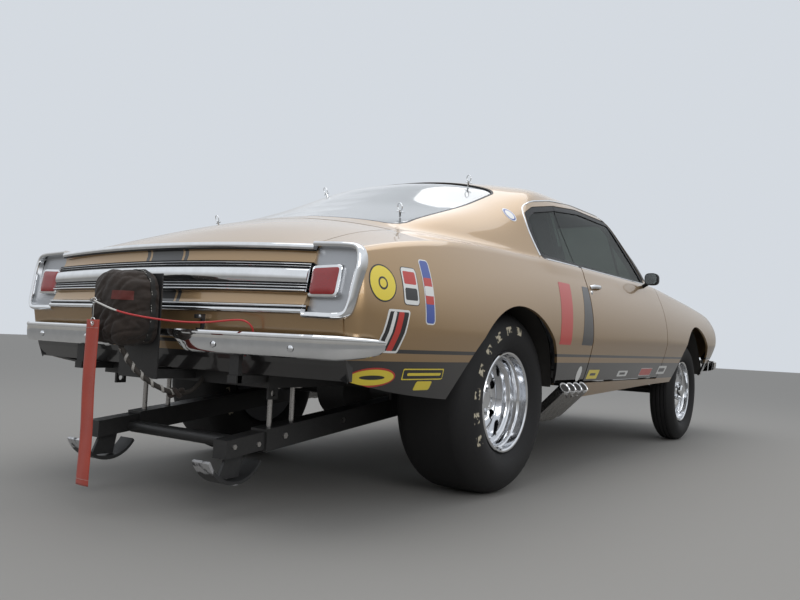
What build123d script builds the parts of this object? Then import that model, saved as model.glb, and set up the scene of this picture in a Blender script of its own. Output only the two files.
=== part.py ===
# Wheelstanding drag racing coupe, millimetres.
# The car's nose points to -Y and its left side is +X. The origin is on the ground, at the
# middle of the car's length. "aft" is a distance behind the rear axle, "out" a distance
# from the centreline and "up" a height above the ground.
from build123d import *
from collections import namedtuple
from math import cos, hypot, pi, radians, sin
import os

os.makedirs("parts", exist_ok=True)

# Driving dimensions of the running gear
REAR_AXLE_Y = 1180
WHEELBASE = 2743
REAR_AXLE_UP = 368
FRONT_AXLE_UP = 331
REAR_TYRE_R = 368
REAR_TYRE_WIDTH = 350
REAR_TYRE_OUTER = 828
REAR_RIM_R = 193
REAR_DISH = 150
FRONT_TYRE_R = 331
FRONT_TYRE_WIDTH = 160
FRONT_TYRE_OUTER = 812
FRONT_RIM_R = 196
FRONT_DISH = 60
FLANGE_SETBACK = 26
FLANGE_THICKNESS = 6
FLANGE_RISE = 9
BARREL_WALL = 7
BARREL_STEP = 9
DISC_THICKNESS = 14
DISC_HOLES = 5
DISC_HOLE_R = 24
DISC_HOLE_CIRCLE = 112
HUB_CAP_R = 42
REAR_HUB_END = 716
FRONT_HUB_END = 797
HUB_BORE_GAP = 0.3
REAR_ARCH_R = 450
REAR_ARCH_AFT = 70
REAR_ARCH_UP = 300
FRONT_ARCH_R = 440
FRONT_ARCH_UP = 335
TYRE_CLEAR_R = 395
TYRE_CLEAR_OUT = 800

# Driving dimensions of the body shell
SIDE_WALL = 55
TOP_WALL = 25
UPPER_WALL = 28
SILL_BULGE = 8
SHOULDER_BULGE = 22
PANEL_GAP = 7
DOOR_REAR_GAP = 8
DOOR_FRONT_AFT = -1950
DOOR_REAR_AFT = -700
DOOR_BOTTOM = 440
COWL_REAR_AFT = -1700
COWL_END_OUT = 770
JAMB_GAP = 14
HOOD_FRONT_AFT = -3600
HOOD_HALF_WIDTH = 640
DECK_REAR_AFT = 1010
DECK_HALF_WIDTH = 600
TULIP_HALF_WIDTH = 660
TAIL_AFT = 1020
NOSE_AFT = -3670
BELT_UP = 955
CABIN_FRONT_AFT = -2300
CABIN_REAR_AFT = 500
CABIN_FLOOR_DROP = 90
PANEL_FLOOR_UP = 700
GLASS_INSET = 12
GLASS_THICKNESS = 6
POST_GAP = 1
WIDE = 1000
TALL = 1600

# Window outlines in side view, as (aft, up)
SIDE_WINDOW = [
    (-1850, 940),
    (-1850, 1000),
    (-1452, 1318),
    (-1024, 1322),
    (-700, 1288),
    (-420, 1236),
    (-322, 1195),
    (-292, 1100),
    (-292, 940),
]
DOOR_WINDOW = [
    (-1838, 900),
    (-1838, 1000),
    (-1448, 1310),
    (-1024, 1314),
    (-709, 1281),
    (-709, 900),
]
WINDOW_POST = [(-617, 940), (-523, 940), (-640, 1290), (-735, 1290)]
WINDSHIELD = [(-715, 1008), (715, 1008), (622, 1316), (-622, 1316)]
WINDSHIELD_REAR_AFT = -1400
REAR_GLASS = [(-556, -330), (556, -330), (575, CABIN_REAR_AFT), (-575, CABIN_REAR_AFT)]

# Door, hood and deck lid hinges: axis places, pins and the plates that carry them
DOOR_AXIS_OUT = 885
DOOR_AXIS_SETBACK = 35
DOOR_EDGE_REACH = 15
DOOR_HINGE_UPS = (642, 698)
DOOR_POCKET_GAP = 4
DOOR_EYE_R = 8
DOOR_PIN_R = 4.5
DOOR_LUG_HALF = 5
POST_OUTS = (735, COWL_END_OUT)
POST_AFTS = (-1948, -1890)
HOOD_AXIS_AFT = -2040
HOOD_AXIS_UP = 957
HOOD_SEAM_R = 78
HOOD_ARM_OUT = 400
DECK_AXIS_AFT = 490
DECK_AXIS_UP = 1010
DECK_SEAM_R = 83
DECK_ARM_OUT = 180
LID_PIN_R = 5
LID_BOSS_R = 9
LID_ARM_WIDTH = 14
LID_ARM_DEPTH = 12
LUG_THICKNESS = 8
LUG_HALF_DEPTH = 12
LUG_DROP = 11
COWL_LUG_RISE = 18
DECK_LUG_RISE = 26
PIN_GAP = 0.3
ARM_SWEEP_LOW = -75
HOOD_SWEEP_HIGH = 10
DECK_SWEEP_HIGH = 15

# Nose and mirrors
NOSE_WALL = 30
NOSE_LIP_UP = 780
GRILLE_INNER = 60
GRILLE_OUTER = 620
GRILLE_UPS = (600, 752)
GRILLE_BARS = 5
GRILLE_BAR_HEIGHT = 4
HEADLAMP_OUT = 535
HEADLAMP_R = 70
MIRROR_OUTS = (838, 915)
MIRROR_AFTS = (-1710, -1650)
MIRROR_UPS = (975, 1045)
MIRROR_FOOT_OUTS = (790, 880)
MIRROR_FOOT_UPS = (950, 985)

# Tubs, floor and bulkheads
TUB_R = 500
TUB_AFT = 90
TUB_UP = 310
TUB_WALL = 8
TUB_INNER = 432
TUB_AXLE_GAP = 12
SHEET = 4
FIREWALL_AFT = -2026
BULKHEAD_AFT = -790
BULKHEAD_TOP = 940
FLOOR_THICKNESS = 5
FLOOR_HALF_WIDTH = 770
REAR_FLOOR_FRONT_AFT = 150

# Frame
RAIL_OUT = 400
RAIL_WIDTH = 60
RAIL_UP = 450
RAIL_HEIGHT = 60
RAIL_FRONT_AFT = -3420
RAIL_REAR_AFT = 980
CROSSMEMBERS = (-3370, -1940, -760, -250, 300, 750, 863, 955)
CROSSMEMBER_WIDTH = 50
TIE_DOWN_AFTS = (-3360, 930)
TIE_DOWN_R = 11
TIE_DOWN_DROP = 20
TAB_THICKNESS = 10
TAB_LENGTH = 44

# Axles, springs and knuckles
AXLE_TUBE_R = 38
AXLE_STUB_R = 24
AXLE_TUBE_END = 655
AXLE_STUB_END = 700
DIFFERENTIAL_R = 130
DIFFERENTIAL_HALF_WIDTH = 75
DIFFERENTIAL_SHOULDER = 150
AXLE_PERCH = 60
AXLE_PERCH_LENGTH = 80
FRONT_BEAM_R = 28
KINGPIN_OUT = 622
KNUCKLE_R = 26
KNUCKLE_HEIGHT = 120
SEAT_GAP = 0.3
SPINDLE_R = 17
SPINDLE_SETBACK = 40
SPRING_UP = 356
SPRING_THICKNESS = 20
SPRING_WIDTH = 50
SPRING_HALF_LENGTH = 400
SHACKLE_LENGTH = 40

# Wheelie frame
ARM_OUT = 330
ARM_SIZE = 75
ARM_TIP_SIZE = 60
ARM_FRONT_AFT = 45
ARM_FRONT_UP = 325
ARM_STEP_AFT = 910
ARM_STEP_UP = 238
ARM_END_AFT = 1085
ARM_END_UP = 220
HANGER_THICKNESS = 12
HANGER_AFTS = (65, 185)
CROSS_TUBE_R = 22
CROSS_TUBE_AFT = 935
CROSS_TUBE_UP = 222
SKID_WIDTH = 76
SKID_WEB = 12
SKID_THICKNESS = 12
SKID_AFTS = (930, 1053, 1164)
SKID_UPS = (168, 107, 186)
ROD_R = 9
ROD_AFTS = (750, 863)

# Engine amidships
ENGINE_HALF_WIDTH = 215
ENGINE_HEAD_OUT = 270
ENGINE_AFTS = (-730, -190)
ENGINE_DECK_UP = 800
HEAD_INNER = 70
HEAD_DROP = 160
HEAD_RISE = 50
COVER_RISE = 60
COVER_OUTS = (95, 245)
COVER_FILLET = 18
SUMP_HALF_WIDTH = 130
SUMP_UP = 360
END_SETBACK = 20
INJECTOR_TOP = 1130
INJECTOR_HALF_WIDTH = 65
STACK_R = 28
STACK_BORE_R = 24
STACK_HEIGHT = 120
STACK_PITCH = 110
STACK_OUT = 34
BELLHOUSING_R = 95
BELLHOUSING_UP = 420
HEADER_R = 25
HEADER_BEND = 34
HEADER_TIP_OUT = 872
HEADER_TIP_UP = 418

# Cabin
CAGE_AFT = -850
CAGE_FOOT_OUT = 680
CAGE_TOP_OUT = 560
CAGE_TOP_UP = 1300
CAGE_BEND_UP = 940
CAGE_BEND = 110
CAGE_TUBE_R = 21
SEAT_OUT = 360
SEAT_WIDTH = 440
DASH_REAR_AFT = -1800
DASH_HALF_WIDTH = 700
DASH_UPS = (800, 935)
STEERING_R = 175
STEERING_TUBE = 25
STEERING_AFT = -1560
STEERING_UP = 930
STEERING_LEAN = 20
COLUMN_R = 18
COLUMN_LENGTH = 270

# Tail: roll pan, bezels, lamps and bumpers
PANEL_END_OUT = 790
BEZEL_INNER = 648
BEZEL_OUTER = 816
BEZEL_RIM = 18
POCKET_DEPTH = 24
LAMP_OUTS = (667, 754)
LAMP_UPS = (724, 798)
LAMP_PROUD = 4
ROLL_PAN_TOP = 661
ROLL_PAN_LOW = 466
BLADE_THICKNESS = 24
REAR_BLADE_UPS = (528, 600)
FRONT_BLADE_UPS = (455, 545)
BRACKET_OUTS = (380, 420)
BRACKET_UPS = (438, 462)
FRONT_BRACKET_UPS = (430, 478)
BRACKET_REACH = 24
BRACKET_LAP = 30

# Parachute pack with its pin, ribbon, release cable and tether
PACK_FRONT_AFT = 1165
PACK_DEPTH = 155
PACK_WIDTH = 220
PACK_UPS = (530, 800)
PACK_FILLET = 38
MOUNT_PLATE = 5
MOUNT_ARM_OUTS = (50, 80)
MOUNT_UPS = (430, 460)
PIN_OUT = 10
PIN_UP = 678
PIN_R = 5
PIN_END_AFT = 1352
RIBBON_AFT = 1338
RIBBON_WIDTH = 65
RIBBON_THICKNESS = 2
RIBBON_UPS = (90, 617)
RIBBON_WIRE_R = 1.5
CABLE_R = 3
TETHER_R = 8

FRONT_AXLE_AFT = -WHEELBASE
RAIL_TOP = RAIL_UP + RAIL_HEIGHT / 2
RAIL_BOTTOM = RAIL_UP - RAIL_HEIGHT / 2
RAIL_INNER = RAIL_OUT - RAIL_WIDTH / 2
FLOOR_TOP = RAIL_TOP + FLOOR_THICKNESS
ROCKER_TOP = DOOR_BOTTOM - PANEL_GAP
DOOR_AXIS_AFT = DOOR_FRONT_AFT + DOOR_AXIS_SETBACK
DOOR_SEAM_R = hypot(DOOR_EDGE_REACH, DOOR_AXIS_SETBACK)
PACK_REAR_AFT = PACK_FRONT_AFT + PACK_DEPTH


def at(aft):
    return REAR_AXLE_Y + aft


def finish(piece, name):
    piece.part.label = name
    export_step(piece.part, f"parts/{name}.step")


def mirrored(source):
    with BuildPart() as other:
        mirror(source.part, about=Plane.YZ)
    return other


# The lower body's cross sections, from nose to tail
Section = namedtuple("Section", "aft belly sill_out widest_out widest_up shoulder_out shoulder_up crown_up")
LOWER_BODY = [
    Section(NOSE_AFT, 560, 700, 770, 700, 735, 800, 812),
    Section(-3560, 500, 760, 845, 660, 790, 846, 872),
    Section(-3200, 430, 800, 882, 650, 805, 885, 925),
    Section(-2743, 410, 815, 893, 650, 805, 925, 962),
    Section(-2200, 405, 820, 900, 650, 805, 965, 1000),
    Section(-1900, 400, 820, 900, 650, 808, 985, 1012),
    Section(-600, 360, 825, 900, 630, 825, 975, 1000),
    Section(187, 380, 825, 902, 620, 815, 965, 1040),
    Section(550, 400, 820, 900, 620, 815, 948, 1063),
    Section(850, 430, 800, 880, 620, 812, 905, 985),
    Section(TAIL_AFT, 470, 760, 835, 620, 800, 866, 889),
]

# The upper body's plan outlines, from the belt to the crown of the roof
Level = namedtuple("Level", "up nose_aft front_out front_aft side_out side_aft sail_out sail_aft tail_aft")
UPPER_BODY = [
    Level(930, -2150, 800, -1960, 835, -300, 640, 620, 900),
    Level(1050, -1985, 775, -1840, 770, -300, 605, 414, 560),
    Level(1180, -1790, 730, -1670, 705, -310, 600, -57, 200),
    Level(1290, -1620, 690, -1520, 660, -420, 590, -360, -60),
    Level(1345, -1520, 655, -1440, 625, -560, 560, -500, -180),
    Level(1390, -1330, 560, -1270, 540, -700, 480, -660, -400),
    Level(1412, -1130, 380, -1090, 370, -820, 330, -800, -640),
]


def bulge(a, b, rise):
    """The middle of an arc from a to b that stands off its chord by rise."""
    dx = b[0] - a[0]
    dy = b[1] - a[1]
    run = hypot(dx, dy)
    return ((a[0] + b[0]) / 2 + dy / run * rise, (a[1] + b[1]) / 2 - dx / run * rise)


def lower_loft(side_inset, top_inset, drop):
    """The lower body's solid, its walls moved in and its belly moved down."""
    with BuildPart() as solid:
        for s in LOWER_BODY:
            sill = (s.sill_out - side_inset, s.belly - drop)
            widest = (s.widest_out - side_inset, s.widest_up)
            shoulder = (s.shoulder_out - side_inset, s.shoulder_up - top_inset)
            crown = (0, s.crown_up - top_inset)
            low = bulge(sill, widest, SILL_BULGE)
            high = bulge(widest, shoulder, SHOULDER_BULGE)
            with BuildSketch(Plane.XZ.offset(-at(s.aft))):
                with BuildLine():
                    Line((-sill[0], sill[1]), sill)
                    ThreePointArc(sill, low, widest)
                    ThreePointArc(widest, high, shoulder)
                    ThreePointArc(shoulder, crown, (-shoulder[0], shoulder[1]))
                    ThreePointArc((-shoulder[0], shoulder[1]), (-high[0], high[1]), (-widest[0], widest[1]))
                    ThreePointArc((-widest[0], widest[1]), (-low[0], low[1]), (-sill[0], sill[1]))
                make_face()
        loft(ruled=True)
    return solid


def upper_loft(inset, top_inset, foot_drop):
    """The upper body's solid between its plan outlines, drawn in by inset."""
    with BuildPart() as solid:
        for index, lv in enumerate(UPPER_BODY):
            up = lv.up - top_inset * index / (len(UPPER_BODY) - 1)
            if index == 0:
                up = up - foot_drop
            nose = (0, at(lv.nose_aft + inset))
            front = (lv.front_out - inset, at(lv.front_aft + inset))
            side = (lv.side_out - inset, at(lv.side_aft))
            sail = (lv.sail_out - inset, at(lv.sail_aft - inset / 2))
            tail = (0, at(lv.tail_aft - inset))
            with BuildSketch(Plane.XY.offset(up)):
                with BuildLine():
                    ThreePointArc((-front[0], front[1]), nose, front)
                    Line(front, side)
                    Line(side, sail)
                    ThreePointArc(sail, tail, (-sail[0], sail[1]))
                    Line((-sail[0], sail[1]), (-side[0], side[1]))
                    Line((-side[0], side[1]), (-front[0], front[1]))
                make_face()
        loft(ruled=True)
    return solid


def across(radius, aft, up, half_width, mode=Mode.ADD):
    """A round bar lying across the car, put in the open part."""
    with Locations((0, at(aft), up)):
        Cylinder(radius, 2 * half_width, rotation=(0, 90, 0), mode=mode)


def upright(radius, out, aft, ups, mode=Mode.ADD):
    """A round bar standing upright, put in the open part."""
    with Locations((out, at(aft), (ups[0] + ups[1]) / 2)):
        Cylinder(radius, ups[1] - ups[0], mode=mode)


def slab(outs, afts, ups, mode=Mode.ADD):
    """A plain box between two limits in each direction, put in the open part."""
    with Locations(((outs[0] + outs[1]) / 2, at((afts[0] + afts[1]) / 2), (ups[0] + ups[1]) / 2)):
        Box(outs[1] - outs[0], afts[1] - afts[0], ups[1] - ups[0], mode=mode)


def both(side, inner, outer):
    """The two limits of a piece between inner and outer, on one side of the car."""
    return tuple(sorted((side * inner, side * outer)))


# Whole outer and inner forms of the shell, which the panels are cut from
lower_outer = lower_loft(0, 0, 0)
lower_inner = lower_loft(SIDE_WALL, TOP_WALL, 200)
upper_outer = upper_loft(0, 0, 0)
upper_inner = upper_loft(UPPER_WALL, UPPER_WALL, 0)
cabin_form = upper_loft(UPPER_WALL, UPPER_WALL, 80)
glass_outer = upper_loft(GLASS_INSET, GLASS_INSET, 0)
glass_inner = upper_loft(GLASS_INSET + GLASS_THICKNESS, GLASS_INSET + GLASS_THICKNESS, 0)
post_inset = GLASS_INSET + GLASS_THICKNESS + POST_GAP
post_outer = upper_loft(post_inset, post_inset, 0)

with BuildPart() as cabin:
    add(cabin_form.part)
    slab((-WIDE, WIDE), (CABIN_FRONT_AFT, CABIN_REAR_AFT), (BELT_UP - CABIN_FLOOR_DROP, TALL), Mode.INTERSECT)

with BuildPart() as lower_shell:
    add(lower_outer.part)
    add(lower_inner.part, mode=Mode.SUBTRACT)
    add(cabin.part, mode=Mode.SUBTRACT)
    across(REAR_ARCH_R, REAR_ARCH_AFT, REAR_ARCH_UP, WIDE, Mode.SUBTRACT)
    across(TYRE_CLEAR_R, 0, REAR_AXLE_UP, TYRE_CLEAR_OUT, Mode.SUBTRACT)
    across(FRONT_ARCH_R, FRONT_AXLE_AFT, FRONT_ARCH_UP, WIDE, Mode.SUBTRACT)

# Openings for the glass, and the slanting post behind the door glass
with BuildPart() as side_window_cut:
    with BuildSketch(Plane.YZ.offset(-WIDE)):
        with BuildLine():
            Polyline([(at(aft), up) for aft, up in SIDE_WINDOW], close=True)
        make_face()
    extrude(amount=2 * WIDE)

with BuildPart() as windshield_cut:
    with BuildSketch(Plane.XZ.offset(-at(WINDSHIELD_REAR_AFT))):
        with BuildLine():
            Polyline(WINDSHIELD, close=True)
        make_face()
    extrude(amount=WIDE)

with BuildPart() as rear_glass_cut:
    with BuildSketch(Plane.XY.offset(BELT_UP)):
        with BuildLine():
            Polyline([(out, at(aft)) for out, aft in REAR_GLASS], close=True)
        make_face()
    extrude(amount=TALL - BELT_UP)

with BuildPart() as window_posts:
    with BuildSketch(Plane.YZ.offset(-WIDE)):
        with BuildLine():
            Polyline([(at(aft), up) for aft, up in WINDOW_POST], close=True)
        make_face()
    extrude(amount=2 * WIDE)
    add(post_outer.part, mode=Mode.INTERSECT)
    add(upper_inner.part, mode=Mode.SUBTRACT)

with BuildPart() as roof:
    add(upper_outer.part)
    add(upper_inner.part, mode=Mode.SUBTRACT)
    add(side_window_cut.part, mode=Mode.SUBTRACT)
    add(windshield_cut.part, mode=Mode.SUBTRACT)
    add(rear_glass_cut.part, mode=Mode.SUBTRACT)
    add(window_posts.part)
    add(lower_outer.part, mode=Mode.SUBTRACT)
    for side in (1, -1):
        foot_ups = (BELT_UP - CABIN_FLOOR_DROP, SIDE_WINDOW[1][1])
        foot_afts = (DOOR_FRONT_AFT - PANEL_GAP, SIDE_WINDOW[0][0] + PANEL_GAP)
        slab(both(side, COWL_END_OUT, WIDE), foot_afts, foot_ups, Mode.SUBTRACT)
finish(roof, "roof")


def hinge_arms(turn, seam_r, sweep_high, axis_aft, axis_up, arm_out):
    """Two gooseneck arms with their pins, put in the open part: down from the pin, round the seam and up."""
    inner_r = seam_r + PANEL_GAP + 1
    outer_r = inner_r + LID_ARM_DEPTH
    angles = [radians(a) for a in (ARM_SWEEP_LOW, (ARM_SWEEP_LOW + sweep_high) / 2, sweep_high)]
    outer = [(at(axis_aft) + turn * outer_r * cos(a), axis_up + outer_r * sin(a)) for a in angles]
    inner = [(at(axis_aft) + turn * inner_r * cos(a), axis_up + inner_r * sin(a)) for a in angles]
    half = LID_BOSS_R - 1
    along = (turn * cos(angles[0]), sin(angles[0]))
    ends = [(reach * along[0] - edge * half * along[1], reach * along[1] + edge * half * along[0])
            for reach, edge in ((0, -1), (0, 1), (outer_r - 1, 1), (outer_r - 1, -1))]
    for side in (1, -1):
        with BuildSketch(Plane.YZ.offset(side * arm_out - LID_ARM_WIDTH / 2)) as section:
            with BuildLine():
                ThreePointArc(*outer)
                Line(outer[2], inner[2])
                ThreePointArc(inner[2], inner[1], inner[0])
                Line(inner[0], outer[0])
            make_face()
            with BuildLine():
                Polyline([(at(axis_aft) + y, axis_up + z) for y, z in ends], close=True)
            make_face()
            with Locations((at(axis_aft), axis_up)):
                Circle(LID_BOSS_R)
        extrude(section.sketch, amount=LID_ARM_WIDTH)
        with Locations((side * arm_out, at(axis_aft), axis_up)):
            Cylinder(LID_PIN_R, LID_ARM_WIDTH + 2 * (LUG_THICKNESS + SEAT_GAP), rotation=(0, 90, 0))


def hinge_lugs(axis_aft, axis_up, arm_out, afts, ups):
    """The pairs of lugs that carry the pins of two hinge arms, put in the open part."""
    stand = LID_ARM_WIDTH / 2 + SEAT_GAP
    for side in (1, -1):
        for edge in (1, -1):
            limits = sorted((side * arm_out + edge * stand, side * arm_out + edge * (stand + LUG_THICKNESS)))
            slab(limits, afts, ups)
    across(LID_PIN_R + PIN_GAP, axis_aft, axis_up, WIDE, Mode.SUBTRACT)


# Body panels, cut from the shell with a gap between neighbours that move
with BuildPart() as hood:
    add(lower_shell.part)
    hood_outs = (-HOOD_HALF_WIDTH, HOOD_HALF_WIDTH)
    slab(hood_outs, (HOOD_FRONT_AFT, HOOD_AXIS_AFT), (PANEL_FLOOR_UP, TALL), Mode.INTERSECT)
    across(HOOD_SEAM_R + PANEL_GAP, HOOD_AXIS_AFT, HOOD_AXIS_UP, WIDE, Mode.SUBTRACT)
    hinge_arms(-1, HOOD_SEAM_R, HOOD_SWEEP_HIGH, HOOD_AXIS_AFT, HOOD_AXIS_UP, HOOD_ARM_OUT)
finish(hood, "hood")

with BuildPart() as cowl_reach:
    across(HOOD_SEAM_R, HOOD_AXIS_AFT, HOOD_AXIS_UP, HOOD_HALF_WIDTH)
    slab(hood_outs, (HOOD_AXIS_AFT, DOOR_FRONT_AFT), (PANEL_FLOOR_UP, TALL))
    slab((-COWL_END_OUT, COWL_END_OUT), (DOOR_FRONT_AFT, COWL_REAR_AFT), (PANEL_FLOOR_UP, TALL))

with BuildPart() as cowl_panel:
    add(lower_shell.part)
    add(cowl_reach.part, mode=Mode.INTERSECT)
    cowl_lug_afts = (HOOD_AXIS_AFT - LUG_HALF_DEPTH, HOOD_AXIS_AFT + LUG_HALF_DEPTH)
    cowl_lug_ups = (HOOD_AXIS_UP - LUG_DROP, HOOD_AXIS_UP + COWL_LUG_RISE)
    hinge_lugs(HOOD_AXIS_AFT, HOOD_AXIS_UP, HOOD_ARM_OUT, cowl_lug_afts, cowl_lug_ups)
finish(cowl_panel, "cowl_panel")

with BuildPart() as nose_panel:
    add(lower_outer.part)
    nose_out = HOOD_HALF_WIDTH + PANEL_GAP
    nose_afts = (NOSE_AFT - 1, HOOD_FRONT_AFT - PANEL_GAP)
    slab((-nose_out, nose_out), nose_afts, (0, TALL), Mode.INTERSECT)
    slab((-nose_out, nose_out), (NOSE_AFT + NOSE_WALL, HOOD_FRONT_AFT), (0, NOSE_LIP_UP), Mode.SUBTRACT)
    for side in (1, -1):
        slab(both(side, GRILLE_INNER, GRILLE_OUTER), (NOSE_AFT - 1, HOOD_FRONT_AFT), GRILLE_UPS, Mode.SUBTRACT)
finish(nose_panel, "nose_panel")

FENDER_REAR_AFT = DOOR_AXIS_AFT - DOOR_SEAM_R - PANEL_GAP
with BuildPart() as fender_left:
    add(lower_shell.part)
    fender_afts = (NOSE_AFT - 1, DOOR_FRONT_AFT - PANEL_GAP)
    slab((HOOD_HALF_WIDTH + PANEL_GAP, WIDE), fender_afts, (0, TALL), Mode.INTERSECT)
    slab((0, DOOR_AXIS_OUT), (FENDER_REAR_AFT, DOOR_FRONT_AFT), (0, TALL), Mode.SUBTRACT)
    upright(DOOR_SEAM_R + PANEL_GAP, DOOR_AXIS_OUT, DOOR_AXIS_AFT, (0, TALL), Mode.SUBTRACT)
with BuildPart() as fenders:
    add(fender_left.part)
    mirror(fender_left.part, about=Plane.YZ)
finish(fenders, "fenders")

# Doors turn on a pin inside their front edge, which is round about that pin
with BuildPart() as door_corner:
    slab((DOOR_AXIS_OUT, WIDE), (DOOR_AXIS_AFT - DOOR_SEAM_R - 1, DOOR_AXIS_AFT), (0, TALL))
    upright(DOOR_SEAM_R, DOOR_AXIS_OUT, DOOR_AXIS_AFT, (0, TALL), Mode.SUBTRACT)

pocket_ups = (DOOR_HINGE_UPS[0] - DOOR_POCKET_GAP, DOOR_HINGE_UPS[1] + DOOR_POCKET_GAP)
pocket_afts = (DOOR_AXIS_AFT - DOOR_SEAM_R - 1, DOOR_AXIS_AFT + DOOR_LUG_HALF + DOOR_POCKET_GAP)
with BuildPart() as door_left:
    add(lower_shell.part)
    door_afts = (DOOR_AXIS_AFT - DOOR_SEAM_R, DOOR_REAR_AFT)
    slab((COWL_END_OUT + JAMB_GAP, WIDE), door_afts, (DOOR_BOTTOM, TALL), Mode.INTERSECT)
    add(door_corner.part, mode=Mode.SUBTRACT)
    slab((DOOR_AXIS_OUT - SIDE_WALL, DOOR_AXIS_OUT), pocket_afts, pocket_ups, Mode.SUBTRACT)
    swing_afts = (DOOR_AXIS_AFT - DOOR_SEAM_R - 1, DOOR_AXIS_AFT)
    slab((DOOR_AXIS_OUT, DOOR_AXIS_OUT + DOOR_LUG_HALF + 1), swing_afts, pocket_ups, Mode.SUBTRACT)
    upright(DOOR_EYE_R + 1, DOOR_AXIS_OUT, DOOR_AXIS_AFT, pocket_ups, Mode.SUBTRACT)
    upright(DOOR_PIN_R, DOOR_AXIS_OUT, DOOR_AXIS_AFT, (pocket_ups[0] - 8, pocket_ups[1] + 8))
    slab(MIRROR_OUTS, MIRROR_AFTS, MIRROR_UPS)
    slab(MIRROR_FOOT_OUTS, MIRROR_AFTS, MIRROR_FOOT_UPS)
finish(door_left, "door_left")
finish(mirrored(door_left), "door_right")

with BuildPart() as hinge_post_left:
    slab(POST_OUTS, POST_AFTS, (FLOOR_TOP, TALL))
    add(lower_inner.part, mode=Mode.INTERSECT)
    lug_afts = (DOOR_AXIS_AFT - DOOR_LUG_HALF, DOOR_AXIS_AFT + DOOR_LUG_HALF)
    slab((POST_OUTS[0], DOOR_AXIS_OUT), lug_afts, DOOR_HINGE_UPS)
    upright(DOOR_EYE_R, DOOR_AXIS_OUT, DOOR_AXIS_AFT, DOOR_HINGE_UPS)
    upright(DOOR_PIN_R + PIN_GAP, DOOR_AXIS_OUT, DOOR_AXIS_AFT, DOOR_HINGE_UPS, Mode.SUBTRACT)
with BuildPart() as hinge_posts:
    add(hinge_post_left.part)
    mirror(hinge_post_left.part, about=Plane.YZ)
finish(hinge_posts, "hinge_posts")

ROCKER_REAR_AFT = -726
with BuildPart() as rocker_panels:
    add(lower_shell.part)
    slab((-WIDE, WIDE), (FENDER_REAR_AFT, ROCKER_REAR_AFT), (0, ROCKER_TOP), Mode.INTERSECT)
finish(rocker_panels, "rocker_panels")

HEADER_NOTCH_UP = 452
with BuildPart() as quarter_left:
    add(lower_shell.part)
    slab((0, WIDE), (DOOR_REAR_AFT, REAR_ARCH_AFT), (0, HEADER_NOTCH_UP), Mode.SUBTRACT)
    slab((0, WIDE), (DOOR_REAR_AFT + DOOR_REAR_GAP, TAIL_AFT + 1), (0, TALL), Mode.INTERSECT)
    slab((-1, TULIP_HALF_WIDTH), (0, TAIL_AFT + 2), (0, TALL), Mode.SUBTRACT)
with BuildPart() as quarter_panels:
    add(quarter_left.part)
    mirror(quarter_left.part, about=Plane.YZ)
finish(quarter_panels, "quarter_panels")

with BuildPart() as deck_hole:
    hole_out = DECK_HALF_WIDTH + PANEL_GAP
    slab((-hole_out, hole_out), (DECK_AXIS_AFT, TAIL_AFT + 2), (PANEL_FLOOR_UP, TALL))
    across(DECK_SEAM_R, DECK_AXIS_AFT, DECK_AXIS_UP, WIDE, Mode.SUBTRACT)

with BuildPart() as deck_surround:
    add(lower_shell.part)
    slab((-TULIP_HALF_WIDTH, TULIP_HALF_WIDTH), (CABIN_REAR_AFT, TAIL_AFT + 1), (0, TALL), Mode.INTERSECT)
    add(deck_hole.part, mode=Mode.SUBTRACT)
    deck_lug_afts = (DECK_AXIS_AFT - LUG_HALF_DEPTH, DECK_AXIS_AFT + 2 * LUG_HALF_DEPTH)
    deck_lug_ups = (DECK_AXIS_UP - LUG_DROP, DECK_AXIS_UP + DECK_LUG_RISE)
    hinge_lugs(DECK_AXIS_AFT, DECK_AXIS_UP, DECK_ARM_OUT, deck_lug_afts, deck_lug_ups)
finish(deck_surround, "deck_surround")

with BuildPart() as deck_lid:
    add(lower_shell.part)
    lid_afts = (DECK_AXIS_AFT, DECK_REAR_AFT)
    slab((-DECK_HALF_WIDTH, DECK_HALF_WIDTH), lid_afts, (PANEL_FLOOR_UP, TALL), Mode.INTERSECT)
    across(DECK_SEAM_R + PANEL_GAP, DECK_AXIS_AFT, DECK_AXIS_UP, WIDE, Mode.SUBTRACT)
    hinge_arms(1, DECK_SEAM_R, DECK_SWEEP_HIGH, DECK_AXIS_AFT, DECK_AXIS_UP, DECK_ARM_OUT)
finish(deck_lid, "deck_lid")

# Window glass, a thin skin inside each opening
with BuildPart() as glass_skin:
    add(glass_outer.part)
    add(glass_inner.part, mode=Mode.SUBTRACT)
    add(lower_outer.part, mode=Mode.SUBTRACT)

with BuildPart() as windshield:
    add(glass_skin.part)
    add(windshield_cut.part, mode=Mode.INTERSECT)
finish(windshield, "windshield")

with BuildPart() as rear_glass:
    add(glass_skin.part)
    add(rear_glass_cut.part, mode=Mode.INTERSECT)
finish(rear_glass, "rear_glass")

with BuildPart() as door_glass_left:
    add(glass_skin.part)
    with BuildSketch(Plane.YZ.offset(WIDE / 2)):
        with BuildLine():
            Polyline([(at(aft), up) for aft, up in DOOR_WINDOW], close=True)
        make_face()
    extrude(amount=WIDE / 2, mode=Mode.INTERSECT)
finish(door_glass_left, "door_glass_left")
finish(mirrored(door_glass_left), "door_glass_right")

with BuildPart() as quarter_glass:
    add(glass_skin.part)
    add(side_window_cut.part, mode=Mode.INTERSECT)
    slab((-WIDE, WIDE), (DOOR_REAR_AFT + DOOR_REAR_GAP, 0), (BELT_UP - PANEL_GAP, TALL), Mode.INTERSECT)
finish(quarter_glass, "quarter_glass")

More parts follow.
